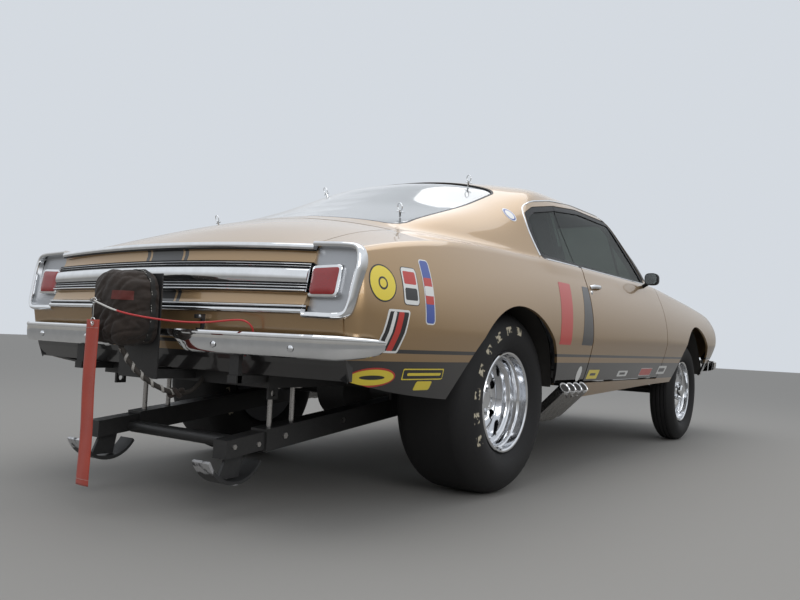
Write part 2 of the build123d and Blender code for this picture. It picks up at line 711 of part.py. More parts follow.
# Wheel tubs, floor and bulkheads
with BuildPart() as wheel_tubs:
    across(TUB_R, TUB_AFT, TUB_UP, WIDE - 1)
    across(TUB_R - TUB_WALL, TUB_AFT, TUB_UP, WIDE, Mode.SUBTRACT)
    for side in (1, -1):
        with BuildSketch(Plane.YZ.offset(side * TUB_INNER)):
            with Locations((at(TUB_AFT), TUB_UP)):
                Circle(TUB_R)
            with Locations((at(0), REAR_AXLE_UP)):
                Circle(AXLE_TUBE_R + TUB_AXLE_GAP, mode=Mode.SUBTRACT)
        extrude(amount=side * TUB_WALL)
    slab((-WIDE, WIDE), (-2 * WIDE, 2 * WIDE), (0, RAIL_BOTTOM), Mode.SUBTRACT)
    slab((-TUB_INNER, TUB_INNER), (-2 * WIDE, 2 * WIDE), (0, TALL), Mode.SUBTRACT)
    add(lower_inner.part, mode=Mode.INTERSECT)
finish(wheel_tubs, "wheel_tubs")

FLOOR_PATCHES = [
    (FLOOR_HALF_WIDTH, (FIREWALL_AFT, BULKHEAD_AFT + SHEET)),
    (TUB_INNER, (RAIL_FRONT_AFT, FIREWALL_AFT)),
    (TUB_INNER, (REAR_FLOOR_FRONT_AFT, RAIL_REAR_AFT)),
]
with BuildPart() as floor_pan:
    for half_width, afts in FLOOR_PATCHES:
        slab((-half_width, half_width), afts, (RAIL_TOP, FLOOR_TOP))
finish(floor_pan, "floor_pan")

with BuildPart() as bulkheads:
    slab((-WIDE, WIDE), (FIREWALL_AFT, FIREWALL_AFT + SHEET), (FLOOR_TOP, TALL))
    slab((-WIDE, WIDE), (BULKHEAD_AFT, BULKHEAD_AFT + SHEET), (FLOOR_TOP, BULKHEAD_TOP))
    add(lower_inner.part, mode=Mode.INTERSECT)
finish(bulkheads, "bulkheads")

# Frame rails with tie-down tabs, and crossmembers between them
with BuildPart() as frame_rails:
    for side in (1, -1):
        limits = both(side, RAIL_OUT - RAIL_WIDTH / 2, RAIL_OUT + RAIL_WIDTH / 2)
        slab(limits, (RAIL_FRONT_AFT, RAIL_REAR_AFT), (RAIL_BOTTOM, RAIL_TOP))
        for aft in TIE_DOWN_AFTS:
            with BuildSketch(Plane.YZ.offset(side * RAIL_OUT - TAB_THICKNESS / 2)):
                with Locations((at(aft), RAIL_BOTTOM - TIE_DOWN_DROP)):
                    Rectangle(TAB_LENGTH, 2 * TIE_DOWN_DROP)
                    Circle(TIE_DOWN_R, mode=Mode.SUBTRACT)
            extrude(amount=TAB_THICKNESS)
finish(frame_rails, "frame_rails")

with BuildPart() as crossmembers:
    for aft in CROSSMEMBERS:
        reach = CROSSMEMBER_WIDTH / 2
        slab((-RAIL_INNER, RAIL_INNER), (aft - reach, aft + reach), (RAIL_BOTTOM, RAIL_TOP))
finish(crossmembers, "crossmembers")

# Rear axle, front axle with its leaf packs, and the steered knuckles
with BuildPart() as rear_axle:
    with BuildSketch(Plane(origin=(0, at(0), REAR_AXLE_UP), x_dir=(1, 0, 0), z_dir=(0, -1, 0))):
        with BuildLine():
            Polyline(
                [
                    (-AXLE_STUB_END, 0),
                    (-AXLE_STUB_END, AXLE_STUB_R),
                    (-AXLE_TUBE_END, AXLE_STUB_R),
                    (-AXLE_TUBE_END, AXLE_TUBE_R),
                    (-DIFFERENTIAL_SHOULDER, AXLE_TUBE_R),
                    (-DIFFERENTIAL_HALF_WIDTH, DIFFERENTIAL_R),
                    (DIFFERENTIAL_HALF_WIDTH, DIFFERENTIAL_R),
                    (DIFFERENTIAL_SHOULDER, AXLE_TUBE_R),
                    (AXLE_TUBE_END, AXLE_TUBE_R),
                    (AXLE_TUBE_END, AXLE_STUB_R),
                    (AXLE_STUB_END, AXLE_STUB_R),
                    (AXLE_STUB_END, 0),
                ],
                close=True,
            )
        make_face()
    revolve(axis=Axis((0, at(0), REAR_AXLE_UP), (1, 0, 0)))
    for side in (1, -1):
        limits = both(side, RAIL_OUT - AXLE_PERCH / 2, RAIL_OUT + AXLE_PERCH / 2)
        slab(limits, (-AXLE_PERCH_LENGTH / 2, AXLE_PERCH_LENGTH / 2), (REAR_AXLE_UP, RAIL_BOTTOM))
finish(rear_axle, "rear_axle")

with BuildPart() as front_axle:
    across(FRONT_BEAM_R, FRONT_AXLE_AFT, FRONT_AXLE_UP, KINGPIN_OUT - KNUCKLE_R - SEAT_GAP)
    spring_top = SPRING_UP + SPRING_THICKNESS
    for side in (1, -1):
        limits = both(side, RAIL_OUT - SPRING_WIDTH / 2, RAIL_OUT + SPRING_WIDTH / 2)
        front_end = FRONT_AXLE_AFT - SPRING_HALF_LENGTH
        rear_end = FRONT_AXLE_AFT + SPRING_HALF_LENGTH
        slab(limits, (front_end, rear_end), (SPRING_UP, spring_top))
        slab(limits, (front_end, front_end + SHACKLE_LENGTH), (spring_top, RAIL_BOTTOM))
        slab(limits, (rear_end - SHACKLE_LENGTH, rear_end), (spring_top, RAIL_BOTTOM))
finish(front_axle, "front_axle")

with BuildPart() as knuckle_left:
    knuckle_ups = (FRONT_AXLE_UP - KNUCKLE_HEIGHT / 2, FRONT_AXLE_UP + KNUCKLE_HEIGHT / 2)
    upright(KNUCKLE_R, KINGPIN_OUT, FRONT_AXLE_AFT, knuckle_ups)
    with BuildSketch(Plane.YZ.offset(KINGPIN_OUT)):
        with Locations((at(FRONT_AXLE_AFT), FRONT_AXLE_UP)):
            Circle(SPINDLE_R)
    extrude(amount=FRONT_TYRE_OUTER - SPINDLE_SETBACK - KINGPIN_OUT)
finish(knuckle_left, "knuckle_left")
finish(mirrored(knuckle_left), "knuckle_right")

# Wheels and tyres, each turned about its own axle
Wheel = namedtuple("Wheel", "name aft up outer width tyre_r rim_r bore_r dish axle_end hub_end")
WHEELS = [
    Wheel("rear", 0, REAR_AXLE_UP, REAR_TYRE_OUTER, REAR_TYRE_WIDTH, REAR_TYRE_R, REAR_RIM_R,
          AXLE_STUB_R, REAR_DISH, AXLE_STUB_END, REAR_HUB_END),
    Wheel("front", FRONT_AXLE_AFT, FRONT_AXLE_UP, FRONT_TYRE_OUTER, FRONT_TYRE_WIDTH, FRONT_TYRE_R,
          FRONT_RIM_R, SPINDLE_R, FRONT_DISH, FRONT_TYRE_OUTER - SPINDLE_SETBACK, FRONT_HUB_END),
]
for wheel in WHEELS:
    inner = wheel.outer - wheel.width
    spin_plane = Plane(origin=(0, at(wheel.aft), wheel.up), x_dir=(1, 0, 0), z_dir=(0, -1, 0))
    spin_axis = Axis((0, at(wheel.aft), wheel.up), (1, 0, 0))
    bead = wheel.rim_r
    seat = FLANGE_SETBACK + FLANGE_THICKNESS
    lip = bead + FLANGE_RISE
    shoulder = wheel.width * 0.22
    crown_drop = wheel.tyre_r - 3
    middle = (bead + wheel.tyre_r) / 2
    with BuildPart() as tyre:
        with BuildSketch(spin_plane):
            with BuildLine():
                Line((inner + seat, bead), (wheel.outer - seat, bead))
                Line((wheel.outer - seat, bead), (wheel.outer - seat, lip + 2))
                ThreePointArc(
                    (wheel.outer - seat, lip + 2),
                    (wheel.outer, middle),
                    (wheel.outer - shoulder, crown_drop),
                )
                ThreePointArc(
                    (wheel.outer - shoulder, crown_drop),
                    (wheel.outer - wheel.width / 2, wheel.tyre_r),
                    (inner + shoulder, crown_drop),
                )
                ThreePointArc((inner + shoulder, crown_drop), (inner, middle), (inner + seat, lip + 2))
                Line((inner + seat, lip + 2), (inner + seat, bead))
            make_face()
        revolve(axis=spin_axis)
    finish(tyre, f"{wheel.name}_tyre_left")
    finish(mirrored(tyre), f"{wheel.name}_tyre_right")

    disc = wheel.outer - wheel.dish
    step = wheel.outer - (FLANGE_SETBACK + wheel.dish) / 2
    floor_r = bead - BARREL_WALL
    bore = wheel.bore_r + HUB_BORE_GAP
    with BuildPart() as rim:
        with BuildSketch(spin_plane):
            with BuildLine():
                Polyline(
                    [
                        (wheel.outer - FLANGE_SETBACK, lip),
                        (wheel.outer - seat, lip),
                        (wheel.outer - seat, bead),
                        (inner + seat, bead),
                        (inner + seat, lip),
                        (inner + FLANGE_SETBACK, lip),
                        (inner + FLANGE_SETBACK, floor_r),
                        (disc - DISC_THICKNESS, floor_r),
                        (disc, floor_r - BARREL_STEP),
                        (step, floor_r - BARREL_STEP),
                        (step, floor_r),
                        (wheel.outer - FLANGE_SETBACK, floor_r),
                    ],
                    close=True,
                )
            make_face()
            with BuildLine():
                Polyline(
                    [
                        (disc - DISC_THICKNESS, bore),
                        (wheel.axle_end + 6, bore),
                        (wheel.axle_end + 6, 0),
                        (wheel.hub_end, 0),
                        (wheel.hub_end, HUB_CAP_R - 8),
                        (wheel.hub_end - 12, HUB_CAP_R),
                        (disc, HUB_CAP_R),
                        (disc, floor_r),
                        (disc - DISC_THICKNESS, floor_r + 2),
                    ],
                    close=True,
                )
            make_face()
        revolve(axis=spin_axis)
        with BuildSketch(Plane(origin=(disc + 1, at(wheel.aft), wheel.up), z_dir=(1, 0, 0))):
            with PolarLocations(DISC_HOLE_CIRCLE, DISC_HOLES):
                Circle(DISC_HOLE_R)
        extrude(amount=-DISC_THICKNESS - 2, mode=Mode.SUBTRACT)
    finish(rim, f"{wheel.name}_wheel_left")
    finish(mirrored(rim), f"{wheel.name}_wheel_right")


# Wheelie bars under the tail: arms, cross tube, skid shoes and rods
def arm_up(aft):
    """Height of the arm's centreline, before and behind its step."""
    if aft < ARM_STEP_AFT:
        share = (aft - ARM_FRONT_AFT) / (ARM_STEP_AFT - ARM_FRONT_AFT)
        return ARM_FRONT_UP + share * (ARM_STEP_UP - ARM_FRONT_UP)
    share = (aft - ARM_STEP_AFT) / (ARM_END_AFT - ARM_STEP_AFT)
    return ARM_STEP_UP + share * (ARM_END_UP - ARM_STEP_UP)


ArmRun = namedtuple("ArmRun", "size front_aft front_up rear_aft rear_up")
ARM_RUNS = [
    ArmRun(ARM_SIZE, ARM_FRONT_AFT, ARM_FRONT_UP, ARM_STEP_AFT, ARM_STEP_UP),
    ArmRun(ARM_TIP_SIZE, ARM_STEP_AFT, ARM_STEP_UP, ARM_END_AFT, ARM_END_UP),
]
with BuildPart() as wheelie_arms:
    for side in (1, -1):
        for run in ARM_RUNS:
            half = run.size / 2
            with BuildSketch(Plane.YZ.offset(side * ARM_OUT - half)):
                with BuildLine():
                    Polyline(
                        [
                            (at(run.front_aft), run.front_up - half),
                            (at(run.rear_aft), run.rear_up - half),
                            (at(run.rear_aft), run.rear_up + half),
                            (at(run.front_aft), run.front_up + half),
                        ],
                        close=True,
                    )
                make_face()
            extrude(amount=run.size)
        hanger_ups = (ARM_FRONT_UP - ARM_SIZE / 2, RAIL_TOP - FLOOR_THICKNESS)
        slab(both(side, RAIL_INNER - HANGER_THICKNESS, RAIL_INNER), HANGER_AFTS, hanger_ups)
finish(wheelie_arms, "wheelie_arms")

with BuildPart() as wheelie_cross_tube:
    across(CROSS_TUBE_R, CROSS_TUBE_AFT, CROSS_TUBE_UP, ARM_OUT - ARM_TIP_SIZE / 2)
finish(wheelie_cross_tube, "wheelie_cross_tube")

with BuildPart() as wheelie_skids:
    shoe = [(at(aft), up) for aft, up in zip(SKID_AFTS, SKID_UPS)]
    lining = [
        (shoe[0][0] + 6, shoe[0][1] + 8),
        (shoe[1][0], shoe[1][1] + SKID_THICKNESS),
        (shoe[2][0] - 8, shoe[2][1] + 6),
    ]
    web_afts = (1060, 985)
    web_foot = SKID_UPS[1] + SKID_THICKNESS + 5
    for side in (1, -1):
        with BuildSketch(Plane.YZ.offset(side * ARM_OUT - SKID_WIDTH / 2)):
            with BuildLine():
                ThreePointArc(*shoe)
                Line(shoe[2], lining[2])
                ThreePointArc(lining[2], lining[1], lining[0])
                Line(lining[0], shoe[0])
            make_face()
        extrude(amount=SKID_WIDTH)
        with BuildSketch(Plane.YZ.offset(side * ARM_OUT - SKID_WEB / 2)):
            with BuildLine():
                web_top = [(at(aft), arm_up(aft) - ARM_TIP_SIZE / 2) for aft in web_afts]
                foot = [(at(web_afts[1] + 15), web_foot), (at(web_afts[0] + 30), web_foot)]
                Polyline(foot + web_top, close=True)
            make_face()
        extrude(amount=SKID_WEB)
finish(wheelie_skids, "wheelie_skids")

with BuildPart() as wheelie_rods:
    for side in (1, -1):
        for aft in ROD_AFTS:
            upright(ROD_R, side * ARM_OUT, aft, (arm_up(aft) + ARM_SIZE / 2 - ROD_R, RAIL_BOTTOM))
            upright(2 * ROD_R, side * (RAIL_INNER - 2 * ROD_R), aft, (RAIL_BOTTOM - ROD_R, RAIL_BOTTOM))
    add(wheelie_arms.part, mode=Mode.SUBTRACT)
finish(wheelie_rods, "wheelie_rods")

# Engine amidships with its heads, covers, sump, injector and headers
with BuildPart() as engine_block:
    slab((-ENGINE_HALF_WIDTH, ENGINE_HALF_WIDTH), ENGINE_AFTS, (RAIL_TOP, ENGINE_DECK_UP))
    sump_afts = (ENGINE_AFTS[0] + 110, ENGINE_AFTS[1] - 110)
    slab((-SUMP_HALF_WIDTH, SUMP_HALF_WIDTH), sump_afts, (SUMP_UP, RAIL_TOP))
    head_afts = (ENGINE_AFTS[0] + END_SETBACK, ENGINE_AFTS[1] - END_SETBACK)
    head_ups = (ENGINE_DECK_UP - HEAD_DROP, ENGINE_DECK_UP + HEAD_RISE)
    for side in (1, -1):
        slab(both(side, HEAD_INNER, ENGINE_HEAD_OUT), head_afts, head_ups)
    with Locations((0, at(ENGINE_AFTS[1] + 45), BELLHOUSING_UP)):
        Cylinder(BELLHOUSING_R, 90, rotation=(90, 0, 0))
    add(rear_axle.part, mode=Mode.SUBTRACT)
finish(engine_block, "engine_block")

with BuildPart() as cover_left:
    slab(COVER_OUTS, head_afts, (head_ups[1], head_ups[1] + COVER_RISE))
    fillet(cover_left.edges().group_by(Axis.Z)[-1], COVER_FILLET)
with BuildPart() as engine_covers:
    add(cover_left.part)
    mirror(cover_left.part, about=Plane.YZ)
finish(engine_covers, "engine_covers")

with BuildPart() as engine_injector:
    injector_afts = (ENGINE_AFTS[0] + 60, ENGINE_AFTS[1] - 60)
    stack_foot = INJECTOR_TOP - STACK_HEIGHT
    slab((-INJECTOR_HALF_WIDTH, INJECTOR_HALF_WIDTH), injector_afts, (ENGINE_DECK_UP, stack_foot))
    with BuildSketch(Plane.XY.offset(stack_foot)):
        with Locations((0, at(sum(injector_afts) / 2))):
            with GridLocations(2 * STACK_OUT, STACK_PITCH, 2, 4):
                Circle(STACK_R)
                Circle(STACK_BORE_R, mode=Mode.SUBTRACT)
    extrude(amount=STACK_HEIGHT)
finish(engine_injector, "engine_injector")

Header = namedtuple("Header", "port_aft low_aft tip_aft")
HEADERS = [
    Header(-640, -700, -660),
    Header(-520, -638, -585),
    Header(-400, -576, -510),
    Header(-280, -514, -435),
]
with BuildPart() as headers_left:
    for tube in HEADERS:
        with BuildLine() as header_path:
            FilletPolyline(
                (ENGINE_HEAD_OUT, at(tube.port_aft), 700),
                (ENGINE_HEAD_OUT + 50, at(tube.port_aft), 700),
                (ENGINE_HEAD_OUT + 50, at(tube.low_aft), 375),
                (470, at(tube.low_aft), 325),
                (690, at(tube.low_aft), 262),
                (HEADER_TIP_OUT, at(tube.tip_aft), HEADER_TIP_UP),
                radius=HEADER_BEND,
            )
        with BuildSketch(Plane(origin=header_path.line @ 0, z_dir=header_path.line % 0)):
            Circle(HEADER_R)
        sweep(path=header_path.line)
with BuildPart() as headers:
    add(headers_left.part)
    mirror(headers_left.part, about=Plane.YZ)
finish(headers, "headers")

# Bumper blades, bowed in plan and wrapped round at their tips
Blade = namedtuple("Blade", "centre_aft corner_out corner_aft bend_out bend_aft tip_out tip_aft turn")
REAR_BLADE = Blade(1148, 700, 1118, 815, 1079, 872, 960, 1)
FRONT_BLADE = Blade(-3712, 600, -3695, 760, -3650, 850, -3500, -1)


def blade(b, ups):
    """A blade's solid between two heights, its corners eased."""
    middle = (0, at(b.centre_aft))
    corner = (b.corner_out, at(b.corner_aft))
    bend = (b.bend_out, at(b.bend_aft))
    tip = (b.tip_out, at(b.tip_aft))
    back = b.turn * BLADE_THICKNESS
    rear_middle = (0, middle[1] - back)
    rear_corner = (corner[0] - 8, corner[1] - back)
    rear_bend = (bend[0] - 17, bend[1] - back * 0.7)
    rear_tip = (tip[0] - BLADE_THICKNESS, tip[1] - back * 0.2)
    with BuildPart() as bar:
        with BuildSketch(Plane.XY.offset(ups[0])):
            with BuildLine():
                ThreePointArc((-corner[0], corner[1]), middle, corner)
                ThreePointArc(corner, bend, tip)
                Line(tip, rear_tip)
                ThreePointArc(rear_tip, rear_bend, rear_corner)
                ThreePointArc(rear_corner, rear_middle, (-rear_corner[0], rear_corner[1]))
                ThreePointArc(
                    (-rear_corner[0], rear_corner[1]),
                    (-rear_bend[0], rear_bend[1]),
                    (-rear_tip[0], rear_tip[1]),
                )
                Line((-rear_tip[0], rear_tip[1]), (-tip[0], tip[1]))
                ThreePointArc((-tip[0], tip[1]), (-bend[0], bend[1]), (-corner[0], corner[1]))
            make_face()
        extrude(amount=ups[1] - ups[0])
    return bar


rear_blade = blade(REAR_BLADE, REAR_BLADE_UPS)
with BuildPart() as rear_bumper:
    add(rear_blade.part)
    bracket_rear = REAR_BLADE.corner_aft
    for side in (1, -1):
        slab(both(side, *BRACKET_OUTS), (RAIL_REAR_AFT, bracket_rear), BRACKET_UPS)
        upright_ups = (BRACKET_UPS[0], REAR_BLADE_UPS[0] + BRACKET_LAP)
        slab(both(side, *BRACKET_OUTS), (bracket_rear - BRACKET_REACH, bracket_rear), upright_ups)
finish(rear_bumper, "rear_bumper")

front_blade = blade(FRONT_BLADE, FRONT_BLADE_UPS)
with BuildPart() as front_bumper:
    add(front_blade.part)
    for side in (1, -1):
        slab(both(side, *BRACKET_OUTS), (FRONT_BLADE.corner_aft, RAIL_FRONT_AFT), FRONT_BRACKET_UPS)
finish(front_bumper, "front_bumper")

# Tail panel: mouldings, strips and the middle band, as one profile drawn at seven places
TailLine = namedtuple("TailLine", "up share proud")
TAIL_LINES = [
    TailLine(876, 0.0, 0),
    TailLine(870, 0.02, 5),
    TailLine(858, 0.08, 2),
    TailLine(856, 0.09, -15),
    TailLine(818, 0.28, -12),
    TailLine(814, 0.30, 6),
    TailLine(770, 0.52, 10),
    TailLine(732, 0.70, 6),
    TailLine(728, 0.72, -9),
    TailLine(692, 0.88, -2),
    TailLine(688, 0.90, 6),
    TailLine(668, 1.0, 6),
    TailLine(662, 1.0, 0),
]
TAIL_STATIONS = [PANEL_END_OUT * share / 3 for share in (-3, -2, -1, 0, 1, 2, 3)]
TOP_AFT = 1078
TOP_SWEEP = 53
TOP_CROWN = 25
LOW_AFT = 1102
LOW_SWEEP = 22


def low_edge(out):
    """Where the tail panel's lower edge stands at a distance from the centreline."""
    return LOW_AFT - LOW_SWEEP * (out / PANEL_END_OUT) ** 2


def tail_point(out, line):
    """The place of one profile line of the tail panel at a distance from the centreline."""
    bow = (out / PANEL_END_OUT) ** 2
    top_edge = TOP_AFT - TOP_SWEEP * bow
    aft = (1 - line.share) * top_edge + line.share * low_edge(out) + line.proud
    return (at(aft), line.up + (1 - line.share) * TOP_CROWN * (0.68 - bow))


with BuildPart() as tail_bar:
    for out in TAIL_STATIONS:
        profile = [tail_point(out, line) for line in TAIL_LINES]
        with BuildSketch(Plane.YZ.offset(out)):
            with BuildLine():
                inner_line = [(at(TAIL_AFT - 10), profile[-1][1]), (at(TAIL_AFT - 10), profile[0][1])]
                Polyline(profile + inner_line, close=True)
            make_face()
    loft(ruled=True)

FACE_TOP_AFT = 1046
FACE_LOW_AFT = 1084
FACE_UPS = (664, 868)


def face_aft(up):
    """The bezel's slanted face at a height."""
    return FACE_LOW_AFT + (up - FACE_UPS[0]) / (FACE_UPS[1] - FACE_UPS[0]) * (FACE_TOP_AFT - FACE_LOW_AFT)


with BuildPart() as bezel_left:
    with BuildSketch(Plane.YZ.offset(BEZEL_INNER)):
        with BuildLine():
            Polyline(
                [
                    (at(TAIL_AFT - 10), FACE_UPS[1]),
                    (at(FACE_TOP_AFT), FACE_UPS[1]),
                    (at(FACE_LOW_AFT), FACE_UPS[0]),
                    (at(TAIL_AFT - 10), FACE_UPS[0]),
                ],
                close=True,
            )
        make_face()
    extrude(amount=BEZEL_OUTER - BEZEL_INNER)
    fillet(bezel_left.edges().filter_by(Axis.Y).group_by(Axis.X)[-1], 30)

POCKET_UPS = (FACE_UPS[0] + BEZEL_RIM, FACE_UPS[1] - BEZEL_RIM)
with BuildPart() as pocket_left:
    with BuildSketch(Plane.YZ.offset(BEZEL_INNER + BEZEL_RIM)):
        with BuildLine():
            Polyline(
                [
                    (at(face_aft(POCKET_UPS[1]) - POCKET_DEPTH), POCKET_UPS[1]),
                    (at(LOW_AFT + POCKET_DEPTH), POCKET_UPS[1]),
                    (at(LOW_AFT + POCKET_DEPTH), POCKET_UPS[0]),
                    (at(face_aft(POCKET_UPS[0]) - POCKET_DEPTH), POCKET_UPS[0]),
                ],
                close=True,
            )
        make_face()
    extrude(amount=BEZEL_OUTER - BEZEL_INNER - 2 * BEZEL_RIM)

with BuildPart() as tail_panel:
    add(tail_bar.part)
    add(bezel_left.part)
    mirror(bezel_left.part, about=Plane.YZ)
    add(pocket_left.part, mode=Mode.SUBTRACT)
    mirror(pocket_left.part, about=Plane.YZ, mode=Mode.SUBTRACT)
    add(lower_outer.part, mode=Mode.SUBTRACT)
finish(tail_panel, "tail_panel")

PanLine = namedtuple("PanLine", "up setback")
PAN_LINES = [
    PanLine(ROLL_PAN_TOP, 8),
    PanLine(610, 17),
    PanLine(560, 27),
    PanLine(510, 40),
    PanLine(ROLL_PAN_LOW, 58),
]
with BuildPart() as roll_pan:
    for out in TAIL_STATIONS:
        front = [(at(low_edge(out) - line.setback), line.up) for line in PAN_LINES]
        with BuildSketch(Plane.YZ.offset(out)):
            with BuildLine():
                inner_line = [(at(TAIL_AFT - 10), ROLL_PAN_LOW), (at(TAIL_AFT - 10), ROLL_PAN_TOP)]
                Polyline(front + inner_line, close=True)
            make_face()
    loft(ruled=True)
    add(lower_outer.part, mode=Mode.SUBTRACT)
finish(roll_pan, "roll_pan")

# Grille bars in the nose openings, with the headlamps in front of them
lamp_up = sum(GRILLE_UPS) / 2
bar_pitch = (GRILLE_UPS[1] - GRILLE_UPS[0]) / GRILLE_BARS
with BuildPart() as grille:
    for side in (1, -1):
        limits = both(side, GRILLE_INNER, GRILLE_OUTER)
        slab(limits, (NOSE_AFT + 12, NOSE_AFT + 16), GRILLE_UPS)
        for row in range(GRILLE_BARS):
            up = GRILLE_UPS[0] + bar_pitch * (row + 0.5)
            slab(limits, (NOSE_AFT + 2, NOSE_AFT + 12), (up, up + GRILLE_BAR_HEIGHT))
        post_out = HEADLAMP_OUT - HEADLAMP_R - 10
        slab(both(side, post_out, post_out + GRILLE_BAR_HEIGHT), (NOSE_AFT + 2, NOSE_AFT + 12), GRILLE_UPS)
    for side in (1, -1):
        with BuildSketch(Plane.XZ.offset(-at(NOSE_AFT + 12))):
            with Locations((side * HEADLAMP_OUT, lamp_up)):
                Circle(HEADLAMP_R + 3)
        extrude(amount=20, mode=Mode.SUBTRACT)
finish(grille, "grille")

with BuildPart() as lamps:
    for side in (1, -1):
        with BuildSketch(Plane.XZ.offset(-at(NOSE_AFT + 12))):
            with Locations((side * HEADLAMP_OUT, lamp_up)):
                Circle(HEADLAMP_R)
        extrude(amount=12)
        low_up, high_up = LAMP_UPS
        limits = both(side, BEZEL_INNER + BEZEL_RIM + 1, LAMP_OUTS[1])
        with BuildSketch(Plane.YZ.offset(limits[0])):
            with BuildLine():
                Polyline(
                    [
                        (at(face_aft(high_up) - POCKET_DEPTH), high_up),
                        (at(face_aft(high_up) + LAMP_PROUD), high_up),
                        (at(face_aft(low_up) + LAMP_PROUD), low_up),
                        (at(face_aft(low_up) - POCKET_DEPTH), low_up),
                    ],
                    close=True,
                )
            make_face()
        extrude(amount=limits[1] - limits[0])
finish(lamps, "lamps")

# Cabin: cage hoop, seat, dash and steering wheel
with BuildPart() as cage_hoop:
    with BuildLine() as hoop_path:
        FilletPolyline(
            (-CAGE_FOOT_OUT, at(CAGE_AFT), FLOOR_TOP),
            (-CAGE_FOOT_OUT, at(CAGE_AFT), CAGE_BEND_UP),
            (-CAGE_TOP_OUT, at(CAGE_AFT), CAGE_TOP_UP),
            (CAGE_TOP_OUT, at(CAGE_AFT), CAGE_TOP_UP),
            (CAGE_FOOT_OUT, at(CAGE_AFT), CAGE_BEND_UP),
            (CAGE_FOOT_OUT, at(CAGE_AFT), FLOOR_TOP),
            radius=CAGE_BEND,
        )
    with BuildSketch(Plane(origin=hoop_path.line @ 0, z_dir=hoop_path.line % 0)):
        Circle(CAGE_TUBE_R)
    sweep(path=hoop_path.line)
finish(cage_hoop, "cage_hoop")

SEAT_PROFILE = [
    (-1420, FLOOR_TOP),
    (-1420, 640),
    (-1090, 600),
    (-1000, 1060),
    (-920, 1060),
    (-960, FLOOR_TOP),
]
with BuildPart() as driver_seat:
    with BuildSketch(Plane.YZ.offset(SEAT_OUT - SEAT_WIDTH / 2)):
        with BuildLine():
            Polyline([(at(aft), up) for aft, up in SEAT_PROFILE], close=True)
        make_face()
    extrude(amount=SEAT_WIDTH)
finish(driver_seat, "driver_seat")

with BuildPart() as dash_panel:
    slab((-DASH_HALF_WIDTH, DASH_HALF_WIDTH), (FIREWALL_AFT + SHEET, DASH_REAR_AFT), DASH_UPS)
finish(dash_panel, "dash_panel")

with BuildPart() as steering_wheel:
    lean = radians(STEERING_LEAN)
    wheel_plane = Plane(origin=(SEAT_OUT, at(STEERING_AFT), STEERING_UP), z_dir=(0, cos(lean), sin(lean)))
    with BuildSketch(wheel_plane):
        Circle(STEERING_R)
        Circle(STEERING_R - STEERING_TUBE, mode=Mode.SUBTRACT)
        Rectangle(2 * STEERING_R - STEERING_TUBE, STEERING_TUBE)
        Circle(2 * COLUMN_R)
    extrude(amount=STEERING_TUBE - 5)
    with BuildSketch(wheel_plane):
        Circle(COLUMN_R)
    extrude(amount=-COLUMN_LENGTH)
    add(dash_panel.part, mode=Mode.SUBTRACT)
finish(steering_wheel, "steering_wheel")

# Parachute pack on its bracket, with the release pin and the ribbon that hangs from it
with BuildPart() as parachute_mount:
    plate_front = PACK_FRONT_AFT - MOUNT_PLATE
    for side in (1, -1):
        slab(both(side, *MOUNT_ARM_OUTS), (RAIL_REAR_AFT, plate_front), MOUNT_UPS)
    plate_out = PACK_WIDTH / 2 - 10
    slab((-plate_out, plate_out), (plate_front, PACK_FRONT_AFT), (MOUNT_UPS[0], PACK_UPS[1] - 20))
finish(parachute_mount, "parachute_mount")

with BuildPart() as parachute_pack:
    slab((-PACK_WIDTH / 2, PACK_WIDTH / 2), (PACK_FRONT_AFT + SEAT_GAP, PACK_REAR_AFT), PACK_UPS)
    fillet(parachute_pack.edges().group_by(Axis.Y)[-1], PACK_FILLET)
finish(parachute_pack, "parachute_pack")

with BuildPart() as parachute_pin:
    pin_front = PACK_REAR_AFT + SEAT_GAP
    with BuildSketch(Plane.XZ.offset(-at(pin_front))):
        with Locations((PIN_OUT, PIN_UP)):
            Circle(PIN_R)
    extrude(amount=pin_front - PIN_END_AFT)
finish(parachute_pin, "parachute_pin")

with BuildPart() as ribbon:
    ribbon_afts = (RIBBON_AFT, RIBBON_AFT + RIBBON_THICKNESS)
    slab((PIN_OUT - RIBBON_WIDTH / 2, PIN_OUT + RIBBON_WIDTH / 2), ribbon_afts, RIBBON_UPS)
    wire_ups = (RIBBON_UPS[1] - 2 * RIBBON_WIRE_R, PIN_UP - PIN_R - SEAT_GAP)
    upright(RIBBON_WIRE_R, PIN_OUT, RIBBON_AFT + RIBBON_THICKNESS / 2, wire_ups)
finish(ribbon, "ribbon")


def cord(route, radius, name):
    """A limp cord's tube along straight runs, joined by arcs as large as the runs allow."""
    points = [Vector(out, at(aft), up) for out, aft, up in route]
    runs = [b - a for a, b in zip(points, points[1:])]
    radii = []
    for before, after in zip(runs, runs[1:]):
        half_turn = radians(before.get_angle(after)) / 2
        radii.append(0.45 * min(before.length, after.length) * cos(half_turn) / sin(half_turn))
    with BuildPart() as tube:
        with BuildLine() as line:
            FilletPolyline(*points, radius=radii)
        with BuildSketch(Plane(origin=line.line @ 0, z_dir=line.line % 0)):
            Circle(radius)
        sweep(path=line.line)
    length = sum(edge.length for edge in line.edges())
    fill = tube.part.volume / (pi * radius * radius * length)
    print(name, "length", round(length), "radii", [round(r) for r in radii], "fill", round(fill, 4))
    finish(tube, name)


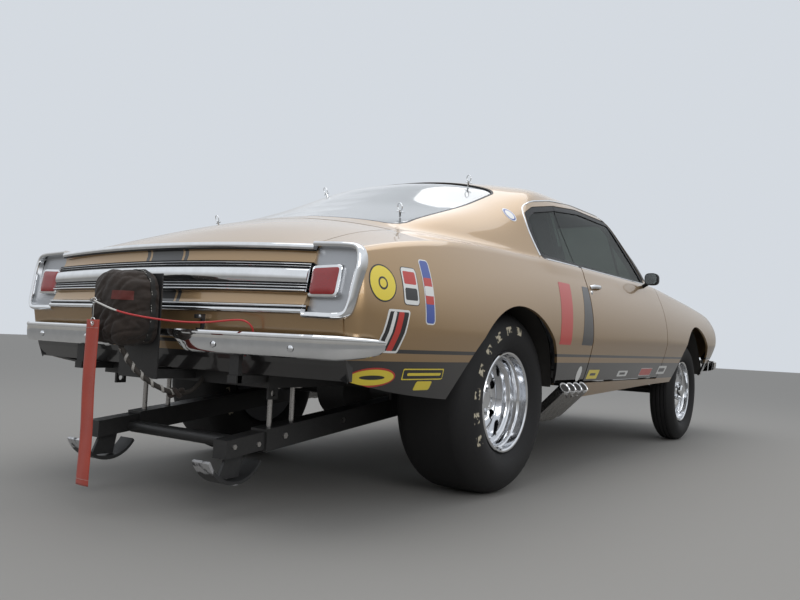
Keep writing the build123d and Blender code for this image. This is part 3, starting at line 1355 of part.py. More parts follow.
# The release cable from the pin to the roll pan, and the tether from the pack to the frame
CABLE_ROUTE = [
    (10, 1342, 678),
    (-55, 1333, 655),
    (-118, 1310, 639),
    (-180, 1272, 629),
    (-240, 1240, 623),
    (-297, 1209, 621),
    (-350, 1177, 624),
    (-398, 1148, 633),
    (-446, 1122, 638),
    (-466, 1100, 612),
    (-452, 1094, 574),
    (-424, 1091, 548),
    (-395, 1062, 524),
]
TETHER_ROUTE = [
    (-20, 1255, 545),
    (-45, 1250, 500),
    (-80, 1225, 452),
    (-108, 1180, 412),
    (-122, 1125, 388),
    (-126, 1065, 382),
    (-122, 1010, 398),
    (-112, 972, 436),
]
cord(CABLE_ROUTE, CABLE_R, "parachute_cable")
cord(TETHER_ROUTE, TETHER_R, "tether_strap")
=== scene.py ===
# %% [markdown]
# # A wheelstanding drag coupe, dressed in Blender
# The solids of this car come from its CAD source, already in metres, with the nose towards -Y,
# the left side towards +X and the ground at Z = 0. This lesson gives them their skin, glass,
# chrome, rubber and cloth. Every piece is made where the solids say it is.

# %% Load the solids
from math import cos, hypot, pi, radians, sin

import bmesh
import bpy
import numpy as np
from mathutils import Matrix, Vector, noise
from mathutils.bvhtree import BVHTree


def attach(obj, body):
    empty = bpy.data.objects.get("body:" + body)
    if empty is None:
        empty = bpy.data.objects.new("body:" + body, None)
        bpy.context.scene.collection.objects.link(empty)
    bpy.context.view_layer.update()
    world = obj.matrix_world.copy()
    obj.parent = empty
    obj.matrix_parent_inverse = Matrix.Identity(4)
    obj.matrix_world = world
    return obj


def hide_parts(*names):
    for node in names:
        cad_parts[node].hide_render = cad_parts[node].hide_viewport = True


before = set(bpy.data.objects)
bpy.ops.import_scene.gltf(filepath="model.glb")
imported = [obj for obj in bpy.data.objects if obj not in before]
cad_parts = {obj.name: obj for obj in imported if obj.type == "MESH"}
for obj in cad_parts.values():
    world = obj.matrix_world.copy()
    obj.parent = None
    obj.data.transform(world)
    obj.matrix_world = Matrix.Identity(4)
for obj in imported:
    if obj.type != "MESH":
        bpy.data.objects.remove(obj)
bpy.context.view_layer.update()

REAR_AXLE = 1.180
FRONT_AXLE = -2.743
REAR_UP, FRONT_UP = 0.368, 0.331
FRONT_ARCH_UP, FRONT_ARCH = 0.335, 0.440
SIDES = ((1, "left"), (-1, "right"))
print("solids:", len(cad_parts))


def at(aft):
    """The Y of a place given as metres behind the rear axle."""
    return REAR_AXLE + aft


def add(name, data):
    """A new object in the scene that holds the given data."""
    obj = bpy.data.objects.new(name, data)
    bpy.context.scene.collection.objects.link(obj)
    return obj


def evaluated(obj):
    """A mesh of an object with its modifiers applied."""
    return bpy.data.meshes.new_from_object(obj.evaluated_get(bpy.context.evaluated_depsgraph_get()))


def unit(vectors):
    """The vectors scaled to length one."""
    return vectors / np.linalg.norm(vectors, axis=-1, keepdims=True)


# %% [markdown]
# ## Camera
# The photograph was taken from behind the right rear wheel, low and fairly close. The camera's
# place and turn were solved from the wheelbase and the tail's corners, so that it sees the part
# as the photograph does.

# %% Camera
CAMERA_PLACE, CAMERA_LENS, SENSOR_WIDTH = (-2.2121, 4.0599, 0.6022), 35.44, 36.0
YAW, PITCH, ROLL = 0.5945, 0.0487, 0.0476


def look_frame(yaw, pitch, roll):
    """Right, up and backward directions of a camera that looks along yaw and pitch."""
    forward = Vector((sin(yaw) * cos(pitch), -cos(yaw) * cos(pitch), sin(pitch)))
    right = forward.cross(Vector((0, 0, 1))).normalized()
    up = right.cross(forward)
    turned_right = cos(roll) * right + sin(roll) * up
    turned_up = -sin(roll) * right + cos(roll) * up
    return turned_right, turned_up, -forward


camera_data = bpy.data.cameras.new("photo_camera")
camera_data.sensor_width = SENSOR_WIDTH
camera_data.lens = CAMERA_LENS
camera = add("photo_camera", camera_data)
bpy.context.scene.camera = camera
turned = zip(*look_frame(YAW, PITCH, ROLL))
camera.matrix_world = Matrix([(*row, place) for row, place in zip(turned, CAMERA_PLACE)] + [(0, 0, 0, 1)])
print("camera stands at", [round(v, 3) for v in camera.matrix_world.translation])

# %% [markdown]
# ## Light, floor and sky
# Paint and chrome show what stands around them. A pale sky, a large soft lamp overhead and a
# weaker one behind the camera give long clean reflections. A grey floor like tarmac keeps the
# shadow and darkens the lower flanks, as a real track does.

# %% Sky
world = bpy.data.worlds.new("pale_sky")
bpy.context.scene.world = world
world.use_nodes = True
sky = world.node_tree
sky.nodes.clear()


def wire(tree, kind, inputs=None, **settings):
    """Adds a node to a tree, sets its settings and fills or links its inputs."""
    node = tree.nodes.new(kind)
    for key, value in settings.items():
        setattr(node, key, value)
    for key, value in (inputs or {}).items():
        socket = node.inputs[key]
        if isinstance(value, bpy.types.NodeSocket):
            tree.links.new(value, socket)
        else:
            socket.default_value = value
    return node


direction = wire(sky, "ShaderNodeTexCoord")
height = wire(sky, "ShaderNodeSeparateXYZ", {0: direction.outputs["Generated"]})
ramp = wire(sky, "ShaderNodeValToRGB", {0: height.outputs["Z"]})
SKY_STOPS = ((0.0, (0.34, 0.33, 0.31, 1)), (0.35, (0.86, 0.90, 0.95, 1)))
for stop, (position, colour) in zip(ramp.color_ramp.elements, SKY_STOPS):
    stop.position, stop.color = position, colour
lit = wire(sky, "ShaderNodeBackground", {"Color": ramp.outputs[0], "Strength": 0.95})
seen = wire(sky, "ShaderNodeBackground", {"Color": (0.66, 0.70, 0.75, 1), "Strength": 1.0})
path = wire(sky, "ShaderNodeLightPath")
choice = wire(sky, "ShaderNodeMixShader",
              {0: path.outputs["Is Camera Ray"], 1: lit.outputs[0], 2: seen.outputs[0]})
wire(sky, "ShaderNodeOutputWorld", {"Surface": choice.outputs[0]})


# %% Lamps
def soft_lamp(name, place, aim, size, watts):
    """A square soft lamp that points from its place to its aim."""
    data = bpy.data.lights.new(name, "AREA")
    data.shape = "RECTANGLE"
    data.size, data.size_y = size
    data.energy = watts
    lamp = add(name, data)
    lamp.location = place
    lamp.rotation_euler = (Vector(aim) - Vector(place)).to_track_quat("-Z", "Y").to_euler()


soft_lamp("overhead_lamp", (0, 0.2, 4.6), (0, 0.2, 0), (4.5, 7.0), 115)
soft_lamp("rear_right_lamp", (-4.5, 4.2, 2.8), (0, 0.6, 0.7), (3.0, 2.0), 55)


# %% Floor
floor_mesh = bpy.data.meshes.new("studio_floor")
floor_mesh.from_pydata([(-30, -30, 0), (30, -30, 0), (30, 30, 0), (-30, 30, 0)], [], [(0, 1, 2, 3)])
floor = add("studio_floor", floor_mesh)
floor_paint = bpy.data.materials.new("grey_floor")
floor_paint.use_nodes = True
floor_shader = floor_paint.node_tree.nodes["Principled BSDF"]
floor_shader.inputs["Base Color"].default_value = (0.25, 0.24, 0.225, 1)
floor_shader.inputs["Roughness"].default_value = 0.85
floor_mesh.materials.append(floor_paint)
bpy.context.scene.view_settings.view_transform = "Standard"
print("stage ready")

# %% [markdown]
# ## One skin for the whole body
# Panels pressed from sheet steel flow into each other, so their highlights run unbroken over the
# gaps. Modelling each panel by itself breaks that flow. Here one closed skin is made first, from
# the body's cross sections and the cabin's plan outlines, and every panel, window and stripe is
# then trimmed out of it. Each station is drawn in polar form about the middle of the body. The
# lower body and the cabin each give a radius, and a soft maximum of the two is the skin. A few
# passes of averaging ease the grid, and more of them calm the roof, whose lid is nearly flat.

# %% Outline tables
# aft, belly, sill out, widest out, widest up, shoulder out, shoulder up, crown up
BODY_SECTIONS = np.array([
    (-3.670, 0.560, 0.700, 0.770, 0.700, 0.735, 0.800, 0.812),
    (-3.560, 0.500, 0.760, 0.845, 0.660, 0.790, 0.846, 0.872),
    (-3.200, 0.430, 0.800, 0.882, 0.650, 0.805, 0.885, 0.925),
    (-2.743, 0.410, 0.815, 0.893, 0.650, 0.805, 0.925, 0.962),
    (-2.200, 0.405, 0.820, 0.900, 0.650, 0.805, 0.965, 1.000),
    (-1.900, 0.400, 0.820, 0.900, 0.650, 0.808, 0.985, 1.012),
    (-0.600, 0.360, 0.825, 0.900, 0.630, 0.825, 0.975, 1.000),
    (0.187, 0.380, 0.825, 0.902, 0.620, 0.815, 0.965, 1.040),
    (0.550, 0.400, 0.820, 0.900, 0.620, 0.815, 0.948, 1.063),
    (0.850, 0.430, 0.800, 0.880, 0.620, 0.812, 0.905, 0.985),
    (1.020, 0.470, 0.760, 0.835, 0.620, 0.800, 0.866, 0.889),
])
# up, nose aft, front out, front aft, side out, side aft, sail out, sail aft, tail aft
CABIN_PLANS = np.array([
    (0.930, -2.150, 0.800, -1.960, 0.835, -0.300, 0.640, 0.620, 0.900),
    (1.050, -1.985, 0.775, -1.840, 0.770, -0.300, 0.605, 0.414, 0.560),
    (1.180, -1.790, 0.730, -1.670, 0.705, -0.310, 0.600, -0.057, 0.200),
    (1.290, -1.620, 0.690, -1.520, 0.660, -0.420, 0.590, -0.360, -0.060),
    (1.345, -1.520, 0.655, -1.440, 0.625, -0.560, 0.560, -0.500, -0.180),
    (1.390, -1.330, 0.560, -1.270, 0.540, -0.700, 0.480, -0.660, -0.400),
    (1.412, -1.130, 0.380, -1.090, 0.370, -0.820, 0.330, -0.800, -0.640),
])
NOSE_AFT, TAIL_AFT = -3.670, 1.020
CENTRE_UP = 0.750
CABIN_FOOT, CABIN_TOP = 0.930, 1.412
PLAN_EASE, SECTION_EASE, SOFT = 0.022, 0.110, 0.014
EASE_PASSES, CALM_PASSES = 3, 24
NO_CABIN = -0.3


def eased(table, grid, sigma):
    """The table's columns read along a fine grid, their corners eased by a Gaussian."""
    step = grid[1] - grid[0]
    reach = int(3 * sigma / step)
    weights = np.exp(-0.5 * (np.arange(-reach, reach + 1) * step / sigma) ** 2)
    weights /= weights.sum()
    columns = []
    for column in table.T[1:]:
        line = np.interp(grid, table[:, 0], column)
        start = 2 * line[0] - line[reach:0:-1]
        end = 2 * line[-1] - line[-2:-reach - 2:-1]
        columns.append(np.convolve(np.concatenate([start, line, end]), weights, "valid"))
    return np.array(columns).T


# %% Station outlines
def bowed(a, b, rise, count):
    """Points on a shallow arc from a to b that stands off its chord by rise."""
    a, b = np.array(a), np.array(b)
    run = b - a
    off = np.array([run[1], -run[0]]) / np.hypot(*run)
    t = np.linspace(0, 1, count)[:, None]
    return a * (1 - t) + b * t + off * 4 * rise * t * (1 - t)


def body_outline(row):
    """Half of the lower body's outline at one station, from the belly's middle to the crown."""
    belly, sill_out, wide_out, wide_up, shoulder_out, shoulder_up, crown_up = row
    across = np.linspace(shoulder_out, 0, 30)
    crown = np.column_stack([across, crown_up - (crown_up - shoulder_up) * (across / shoulder_out) ** 2])
    return np.vstack([
        [(0, belly)],
        bowed((sill_out, belly), (wide_out, wide_up), 0.008, 16),
        bowed((wide_out, wide_up), (shoulder_out, shoulder_up), 0.022, 20)[1:],
        crown[1:],
    ])


def circle_reach(tip, corner_out, corner_aft, aft):
    """Half width at a station of the round end through its tip and both corners."""
    depth = abs(corner_aft - tip)
    radius = (depth ** 2 + corner_out ** 2) / (2 * depth)
    inset = np.abs(aft - tip)
    return np.sqrt(np.maximum(radius ** 2 - (radius - inset) ** 2, 0))


def cabin_half_width(aft, plans):
    """Half width of each of the cabin's plan outlines at one station, 0 where it is past their ends."""
    nose, front_out, front, side_out, side, sail_out, sail, tail = plans.T
    out = np.where(aft < side,
                   front_out + (side_out - front_out) * (aft - front) / (side - front),
                   side_out + (sail_out - side_out) * (aft - side) / (sail - side))
    out = np.where(aft < front, circle_reach(nose, front_out, front, aft), out)
    out = np.where(aft > sail, circle_reach(tail, sail_out, sail, aft), out)
    return np.where((aft < nose) | (aft > tail), 0, out)


def polar(points):
    """Angles and distances of (out, up) points about the middle of the body."""
    return np.arctan2(points[:, 1] - CENTRE_UP, points[:, 0]), np.hypot(points[:, 0], points[:, 1] - CENTRE_UP)


def grid_quads(rows, columns):
    """Quads between neighbouring points of a grid, numbered row by row."""
    index = np.arange(rows * columns).reshape(rows, columns)
    return np.stack([index[:-1, :-1], index[:-1, 1:], index[1:, 1:], index[1:, :-1]], axis=-1).reshape(-1, 4)


def grid_normals(grid, row):
    """Unit normals of a grid of points, outward at a row low on the left side."""
    normals = unit(np.cross(np.gradient(grid, axis=0), np.gradient(grid, axis=1)))
    return -normals if normals[row, 5, 0] < 0 else normals


def agreeing(points, normals, faces, probe):
    """The faces, all reversed if a probe face among them turns against its normal."""
    a, b, c = (points[i] for i in faces[probe][:3])
    return faces[:, ::-1] if np.dot(np.cross(b - a, c - b), normals[faces[probe][0]]) < 0 else faces


# %% The skin's grid
heights = np.linspace(CABIN_FOOT, CABIN_TOP, 90)
plans = eased(CABIN_PLANS, heights, PLAN_EASE)
stations = np.linspace(NOSE_AFT, TAIL_AFT, 214)
sections = eased(BODY_SECTIONS, stations, SECTION_EASE)
half_rows, share_rows = [], []
for aft, row in zip(stations, sections):
    sill, widest, shoulder = polar(row[[1, 0, 2, 3, 4, 5]].reshape(3, 2))[0]
    turns = np.concatenate([
        np.linspace(sill, widest, 13)[:-1],
        np.linspace(widest, shoulder, 15)[:-1],
        shoulder + (pi / 2 - shoulder) * np.linspace(0, 1, 56) ** 1.25,
    ])
    low = np.interp(turns, *polar(body_outline(row)))
    out = cabin_half_width(aft, plans)
    high = np.zeros_like(low)
    if (out > 0).sum() > 1:
        top, edge = heights[out > 0].max() + 0.0005, out[out > 0][-1]
        lid = np.linspace(edge, 0, 16)[1:]
        rim = np.column_stack([np.append(out[out > 0], lid),
                               np.append(heights[out > 0], top + 0.012 * edge * (1 - (lid / edge) ** 2))])
        high = np.interp(turns, *polar(rim), left=0)
    blend = SOFT * np.logaddexp(low / SOFT, high / SOFT)
    radius = np.where(high > low - 0.12, blend, low)
    share_rows.append(np.where(high > 0, high - low, NO_CABIN))
    half_rows.append(np.column_stack([radius * np.cos(turns), np.full_like(turns, at(aft)),
                                      CENTRE_UP + radius * np.sin(turns)]))
half = np.array(half_rows)
for _ in range(EASE_PASSES):
    half[1:-1, 1:-1, 0::2] = (half[1:-1, 1:-1, 0::2] * 2 + half[:-2, 1:-1, 0::2] + half[2:, 1:-1, 0::2]) / 4
    half[1:-1, 30:-1, 0::2] = (half[1:-1, 30:-1, 0::2] * 2 + half[1:-1, 29:-2, 0::2] + half[1:-1, 31:, 0::2]) / 4
near_roof = np.clip(np.minimum((stations + 1.75) / 0.2, (-0.25 - stations) / 0.2), 0, 1)
calm = near_roof[1:-1, None] * np.clip((np.arange(half.shape[1]) - 50) / 10, 0, 1)[None, 1:-1]
for _ in range(CALM_PASSES):
    half[:, -1, 2] = half[:, -2, 2]
    level = (half[:-2, 1:-1, 2] + half[2:, 1:-1, 2] + half[1:-1, :-2, 2] + half[1:-1, 2:, 2]) / 4
    half[1:-1, 1:-1, 2] += calm * (level - half[1:-1, 1:-1, 2])
half[:, -1, 0] = 0
half[:, -1, 2] = half[:, -2, 2]
mirrored_half = half[:, -2::-1] * np.array([-1, 1, 1])
ring = np.concatenate([half, mirrored_half], axis=1)
normals = grid_normals(ring, 100)
share = np.array(share_rows)
share = np.concatenate([share, share[:, -2::-1]], axis=1)
points = np.hstack([ring.reshape(-1, 3), normals.reshape(-1, 3), share.reshape(-1, 1)])
SKIN_QUADS = agreeing(points[:, :3], points[:, 3:6], grid_quads(*share.shape), 2000)
SKIN = (points, SKIN_QUADS.tolist())
print("skin:", len(SKIN[0]), "points, top at", round(float(ring[..., 2].max()), 3))

# %% [markdown]
# ## Trimming
# A cutter is a function that is negative on the side to keep, such as a distance to a line. A
# face that straddles it is cut where each of its edges crosses zero, found by halving the edge
# over and over. The skin's own normals travel with its points, so the highlights stay smooth
# right up to every cut, and a wall is added by stepping inwards along them. The last column of a
# sheet's points says how far the cabin stands above the lower body there, which splits the two.


# %% Cutters
def ahead_of(aft):
    return lambda p: p[:, 1] - at(aft)


def behind(aft):
    return lambda p: at(aft) - p[:, 1]


def within(out):
    return lambda p: np.abs(p[:, 0]) - out


def beyond(out):
    return lambda p: out - np.abs(p[:, 0])


def above(up):
    return lambda p: up - p[:, 2]


def below(up):
    return lambda p: p[:, 2] - up


def on_side(side):
    return lambda p: -side * p[:, 0]


def clear_of(aft, up, radius):
    """Keeps what lies outside a round hole seen from the side."""
    return lambda p: radius - np.hypot(p[:, 1] - at(aft), p[:, 2] - up)


def opposite(cutter):
    return lambda p: -cutter(p)


def rounded(points, ease, view="side"):
    """Negative inside a convex outline with eased corners, seen from the side, top or back."""
    corners = np.array(points, float)
    turn = np.roll(corners, -1, axis=0)
    if np.sum(corners[:, 0] * turn[:, 1] - corners[:, 1] * turn[:, 0]) < 0:
        corners = corners[::-1]
    edges = np.roll(corners, -1, axis=0) - corners
    inward = np.column_stack([-edges[:, 1], edges[:, 0]]) / np.linalg.norm(edges, axis=1)[:, None]
    starts = corners + inward * ease
    before, here = np.roll(edges, 1, axis=0), edges
    shift = np.roll(starts, 1, axis=0)
    cross = before[:, 0] * here[:, 1] - before[:, 1] * here[:, 0]
    gap = starts - shift
    t = (gap[:, 0] * here[:, 1] - gap[:, 1] * here[:, 0]) / cross
    inner = shift + before * t[:, None]

    def cutter(p):
        q = {"side": (p[:, 1] - REAR_AXLE, p[:, 2]), "top": (p[:, 0], p[:, 1] - REAR_AXLE),
             "back": (p[:, 0], p[:, 2])}[view]
        q = np.column_stack(q)
        nearest = np.full(len(q), 1e9)
        sign = np.full(len(q), -1e9)
        for a, b, n in zip(inner, np.roll(inner, -1, axis=0), inward):
            run = b - a
            share = np.clip(((q - a) @ run) / (run @ run), 0, 1)[:, None]
            nearest = np.minimum(nearest, np.linalg.norm(q - a - run * share, axis=1))
            sign = np.maximum(sign, -((q - a) @ n))
        return np.where(sign < 0, -nearest, nearest) - ease
    return cutter


def trim(sheet, *cutters):
    """Keeps the part of a sheet where every cutter is negative."""
    verts, faces = sheet
    for cutter in cutters:
        value = cutter(verts)
        keep = (value < 0).tolist()
        kept, straddling, crossings = [], [], {}
        for face in faces:
            flags = [keep[i] for i in face]
            if all(flags):
                kept.append(face)
            elif any(flags):
                straddling.append(face)
                for a, b in zip(face, face[1:] + face[:1]):
                    if keep[a] != keep[b]:
                        crossings.setdefault((min(a, b), max(a, b)), len(verts) + len(crossings))
        if crossings:
            pairs = np.array(list(crossings))
            low, high = verts[pairs[:, 0]], verts[pairs[:, 1]]
            low_kept = value[pairs[:, 0]] < 0
            for _ in range(20):
                middle = (low + high) / 2
                same = ((cutter(middle) < 0) == low_kept)[:, None]
                low, high = np.where(same, middle, low), np.where(same, high, middle)
            verts = np.vstack([verts, (low + high) / 2])
        for face in straddling:
            outline = []
            for a, b in zip(face, face[1:] + face[:1]):
                if keep[a]:
                    outline.append(a)
                if keep[a] != keep[b]:
                    outline.append(crossings[(min(a, b), max(a, b))])
            kept.append(outline)
        used = np.unique(np.concatenate([np.array(f) for f in kept])) if kept else np.array([], int)
        place = np.full(len(verts), -1)
        place[used] = np.arange(len(used))
        table = place.tolist()
        verts, faces = verts[used], [[table[i] for i in f] for f in kept]
    return verts, faces


def fine(cutter, *others, margin=0.035, parts=4):
    """The skin near a small outline, its faces split finer before it is trimmed."""
    value = cutter(SKIN[0])
    near = SKIN_QUADS[(value[SKIN_QUADS] < margin).any(axis=1)]
    u, v = (axis.ravel() for axis in np.meshgrid(*[np.linspace(0, 1, parts + 1)] * 2, indexing="ij"))
    weights = np.stack([(1 - u) * (1 - v), (1 - u) * v, u * v, u * (1 - v)], axis=1)
    points = np.einsum("wc,qcd->qwd", weights, SKIN[0][near]).reshape(-1, 7)
    _, first, place = np.unique(np.round(points[:, :3], 6), axis=0, return_index=True, return_inverse=True)
    faces = (np.arange(len(near))[:, None, None] * (parts + 1) ** 2 + grid_quads(parts + 1, parts + 1)).reshape(-1, 4)
    verts = points[first]
    verts[:, 3:6] = unit(verts[:, 3:6])
    return trim((verts, place.ravel()[faces].tolist()), *others, cutter)


def offset(sheet, distance):
    """The sheet moved along its own normals."""
    verts = sheet[0].copy()
    verts[:, :3] += verts[:, 3:6] * distance
    return verts, sheet[1]


# %% Making objects
def make_object(name, verts, faces, material, normals=None):
    """A mesh object at the origin with one material, and with given normals where they are known."""
    mesh = bpy.data.meshes.new(name)
    mesh.from_pydata([tuple(v) for v in verts], [], [list(map(int, f)) for f in faces])
    mesh.polygons.foreach_set("use_smooth", [True] * len(mesh.polygons))
    if normals is not None:
        mesh.normals_split_custom_set_from_vertices([tuple(n) for n in normals])
    mesh.materials.append(material)
    return add(name, mesh)


def walled(name, sheet, wall, material, body="body", lining=None):
    """A sheet with a wall stepped inwards, closed at its edges, riding on a body."""
    verts, faces = sheet
    count = len(verts)
    outer, normal = verts[:, :3], verts[:, 3:6]
    inner = outer - normal * wall
    edges = {}
    for face in faces:
        for a, b in zip(face, face[1:] + face[:1]):
            if edges.pop((b, a), None) is None:
                edges[(a, b)] = True
    all_faces = [list(f) for f in faces] + [[i + count for i in reversed(f)] for f in faces]
    rim_points, rim_normals = [], []
    for a, b in edges:
        first = 2 * count + len(rim_points)
        side = np.cross(outer[b] - outer[a], normal[a])
        side /= np.linalg.norm(side) + 1e-12
        rim_points += [outer[a], inner[a], inner[b], outer[b]]
        rim_normals += [side] * 4
        all_faces.append([first, first + 1, first + 2, first + 3])
    points = np.vstack([outer, inner] + ([rim_points] if rim_points else []))
    directions = np.vstack([normal, -normal] + ([rim_normals] if rim_normals else []))
    obj = make_object(name, points, all_faces, material, directions)
    if lining:
        obj.data.materials.append(lining)
        inside = np.arange(len(all_faces))
        inside = ((inside >= len(faces)) & (inside < 2 * len(faces))).astype(int)
        obj.data.polygons.foreach_set("material_index", inside.tolist())
    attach(obj, body)
    return obj


# %% [markdown]
# ## Finishes
# Every finish is made of shader nodes that read the object's own coordinates, so it stays put in
# every view. The gold is metallic under a clear coat, a little uneven like sprayed flake. The
# black band along the bottom, its pinstripe and the centre stripes belong to the same paint, so
# one material draws them all by place.


# %% Shader helpers
def maths(tree, operation, *values):
    """The result of one Math node."""
    return wire(tree, "ShaderNodeMath", dict(enumerate(values)), operation=operation).outputs[0]


def ramped(tree, value, start=0.0, end=1.0, low=0.0, high=1.0):
    """A value carried from one range to another and held at its ends."""
    return wire(tree, "ShaderNodeMapRange", {"Value": value, "From Min": start, "From Max": end,
                                             "To Min": low, "To Max": high}).outputs[0]


def parts_of(material):
    """A material's tree and shader, the object's own coordinates, and those split by axis."""
    tree = material.node_tree
    place = wire(tree, "ShaderNodeTexCoord").outputs["Object"]
    return tree, tree.nodes["Principled BSDF"], place, wire(tree, "ShaderNodeSeparateXYZ", {0: place}).outputs


def mixed(tree, shader, share, first, second):
    """Lets the base colour change from a first colour or socket to a second colour by a share."""
    mix = tree.nodes.new("ShaderNodeMix")
    mix.data_type = "RGBA"
    tree.links.new(share, mix.inputs[0])
    if isinstance(first, bpy.types.NodeSocket):
        tree.links.new(first, mix.inputs[6])
    else:
        mix.inputs[6].default_value = (*first, 1)
    mix.inputs[7].default_value = (*second, 1)
    tree.links.new(mix.outputs[2], shader.inputs["Base Color"])


def covered(tree, shader, share, colour):
    """Lays a colour over the base colour that a shader already has."""
    mixed(tree, shader, share, shader.inputs["Base Color"].links[0].from_socket, colour)


def bumped(tree, shader, height, strength, distance):
    """Gives a shader fine relief."""
    relief = wire(tree, "ShaderNodeBump", {"Height": height, "Strength": strength, "Distance": distance})
    tree.links.new(relief.outputs[0], shader.inputs["Normal"])


# %% Finish builder
def finish(name, colour, rough, metallic=0.0, grain=60.0, spread=0.06, bump=0.0, second=None, **sockets):
    """A material whose colour and roughness vary by fine noise, with a little bump."""
    material = bpy.data.materials.new(name)
    material.use_nodes = True
    tree = material.node_tree
    shader = tree.nodes["Principled BSDF"]
    place = wire(tree, "ShaderNodeTexCoord").outputs["Object"]
    cloud = wire(tree, "ShaderNodeTexNoise", {"Vector": place, "Scale": grain, "Detail": 5.0}).outputs["Fac"]
    mixed(tree, shader, cloud, colour, second or tuple(min(1.0, c * 0.78) for c in colour))
    roughness = ramped(tree, cloud, low=max(rough - spread, 0.0), high=min(rough + spread, 1.0))
    tree.links.new(roughness, shader.inputs["Roughness"])
    shader.inputs["Metallic"].default_value = metallic
    for key, value in sockets.items():
        shader.inputs[key.replace("_", " ")].default_value = value
    if bump:
        bumped(tree, shader, cloud, 0.6, bump)
    return material


CHROME = finish("chrome", (0.86, 0.87, 0.88), 0.05, 1.0, 25, 0.03)
BLACK_TRIM = finish("black_trim", (0.009, 0.009, 0.010), 0.40, 0.0, 80, 0.08, Specular_IOR_Level=0.2)
GLASS = finish("window_glass", (0.20, 0.25, 0.22), 0.02, 0.0, 12, 0.01, Transmission_Weight=1.0, IOR=1.12)
HAZED_GLASS = finish("hazed_glass", (0.46, 0.50, 0.53), 0.07, 0.0, 6, 0.03, Transmission_Weight=0.80, IOR=1.50,
                     Coat_Weight=1.0)
CABIN_BLACK = finish("cabin_black", (0.02, 0.02, 0.02), 0.6, 0.0, 120, 0.1, 0.0003)


# %% Body paint
def painted_body():
    """Gold flake paint with a black lower band, a pinstripe above it and centre stripes at the tail."""
    material = finish("gold_flake_paint", (0.42, 0.275, 0.138), 0.34, 0.72, 900, 0.05,
                      second=(0.35, 0.225, 0.110), Coat_Weight=1.0, Coat_Roughness=0.03)
    tree, shader, _, (x, y, z) = parts_of(material)
    below_band = maths(tree, "LESS_THAN", z, 0.530)
    lower = maths(tree, "MAXIMUM", maths(tree, "GREATER_THAN", z, 0.4365), maths(tree, "GREATER_THAN", y, at(0.2)))
    band = maths(tree, "MULTIPLY", below_band, lower)
    pinstripe = maths(tree, "COMPARE", z, 0.5615, 0.0062)
    across = maths(tree, "ABSOLUTE", x)
    broad, narrow = maths(tree, "LESS_THAN", across, 0.080), maths(tree, "COMPARE", across, 0.099, 0.009)
    on_tail, over_pan = maths(tree, "GREATER_THAN", y, at(1.030)), maths(tree, "GREATER_THAN", z, 0.664)
    tail_part = maths(tree, "MULTIPLY", on_tail, over_pan)
    stripes = maths(tree, "MULTIPLY", maths(tree, "MAXIMUM", broad, narrow), tail_part)
    dark = maths(tree, "MAXIMUM", maths(tree, "MAXIMUM", band, pinstripe), stripes)
    covered(tree, shader, dark, (0.012, 0.011, 0.011))
    tree.links.new(ramped(tree, dark, low=0.72, high=0.0), shader.inputs["Metallic"])
    return material


PAINT = painted_body()
print("finishes:", len(bpy.data.materials))

# %% [markdown]
# ## Panels
# Each panel keeps the skin between its own seams. The seams are the same distances from the
# hinges as in the solids, with half a gap taken off each side, so doors and lids swing free.

# %% Seams and openings
SIDE_OPENING = [(-1.800, 0.975), (-1.800, 1.010), (-1.448, 1.316), (-1.024, 1.320), (-0.700, 1.286),
                (-0.420, 1.234), (-0.322, 1.192), (-0.290, 1.100), (-0.290, 0.975)]
REAR_OPENING = [(-0.556, -0.335), (0.556, -0.335), (0.585, 0.500), (-0.585, 0.500)]
FRONT_OPENING = [(-0.722, 1.006), (0.722, 1.006), (0.622, 1.322), (-0.622, 1.322)]
DOOR_AXIS = (0.885, -1.915)
HOOD_AXIS = (-2.040, 0.957)
DECK_AXIS = (0.490, 1.010)
MIDLINE_HALF, GAP, WALL = 0.6375, 0.005, 0.012
HOOD_TO, NOSE_FROM = -3.6025, -3.6075
side_opening = rounded(SIDE_OPENING, 0.022)
rear_outline = rounded(REAR_OPENING, 0.070, "top")
front_outline = rounded(FRONT_OPENING, 0.060, "back")
rear_arch = clear_of(0.070, 0.300, 0.450)
front_arch = clear_of(FRONT_AXLE, FRONT_ARCH_UP, FRONT_ARCH)


def cabin_side(p):
    return -p[:, 6]


def body_side(p):
    return p[:, 6]


def rear_opening(p):
    return np.maximum(rear_outline(p), 0.9 - p[:, 2])


def front_opening(p):
    return np.maximum(front_outline(p), p[:, 1] - at(-1.400))


def door_front(radius):
    """Negative behind the door's front edge, which is round about its hinge."""
    def cutter(p):
        out, aft = np.abs(p[:, 0]) - DOOR_AXIS[0], p[:, 1] - at(DOOR_AXIS[1])
        plane = -radius - aft
        return np.where((out > 0) & (aft < 0), np.hypot(out, aft) - radius, plane)
    return cutter


def cowl_edge(p):
    """Half width of the cowl, wider behind the fenders than between them."""
    return np.abs(p[:, 0]) - np.where(p[:, 1] < at(-1.9565), MIDLINE_HALF, 0.770)


def hood_line(radius):
    """Negative behind the hood's rear seam."""
    return lambda p: np.where(p[:, 1] > at(HOOD_AXIS[0]), -1.0,
                              np.hypot(p[:, 1] - at(HOOD_AXIS[0]), p[:, 2] - HOOD_AXIS[1]) - radius)


def deck_line(radius):
    """Negative ahead of the deck lid's front seam."""
    return lambda p: np.where(p[:, 1] < at(DECK_AXIS[0]), -1.0,
                              np.hypot(p[:, 1] - at(DECK_AXIS[0]), p[:, 2] - DECK_AXIS[1]) - radius)


def lid_hole(p):
    """Negative where the deck lid lies, with its gap."""
    return np.maximum(np.abs(p[:, 0]) - 0.6035, -deck_line(0.0835)(p))


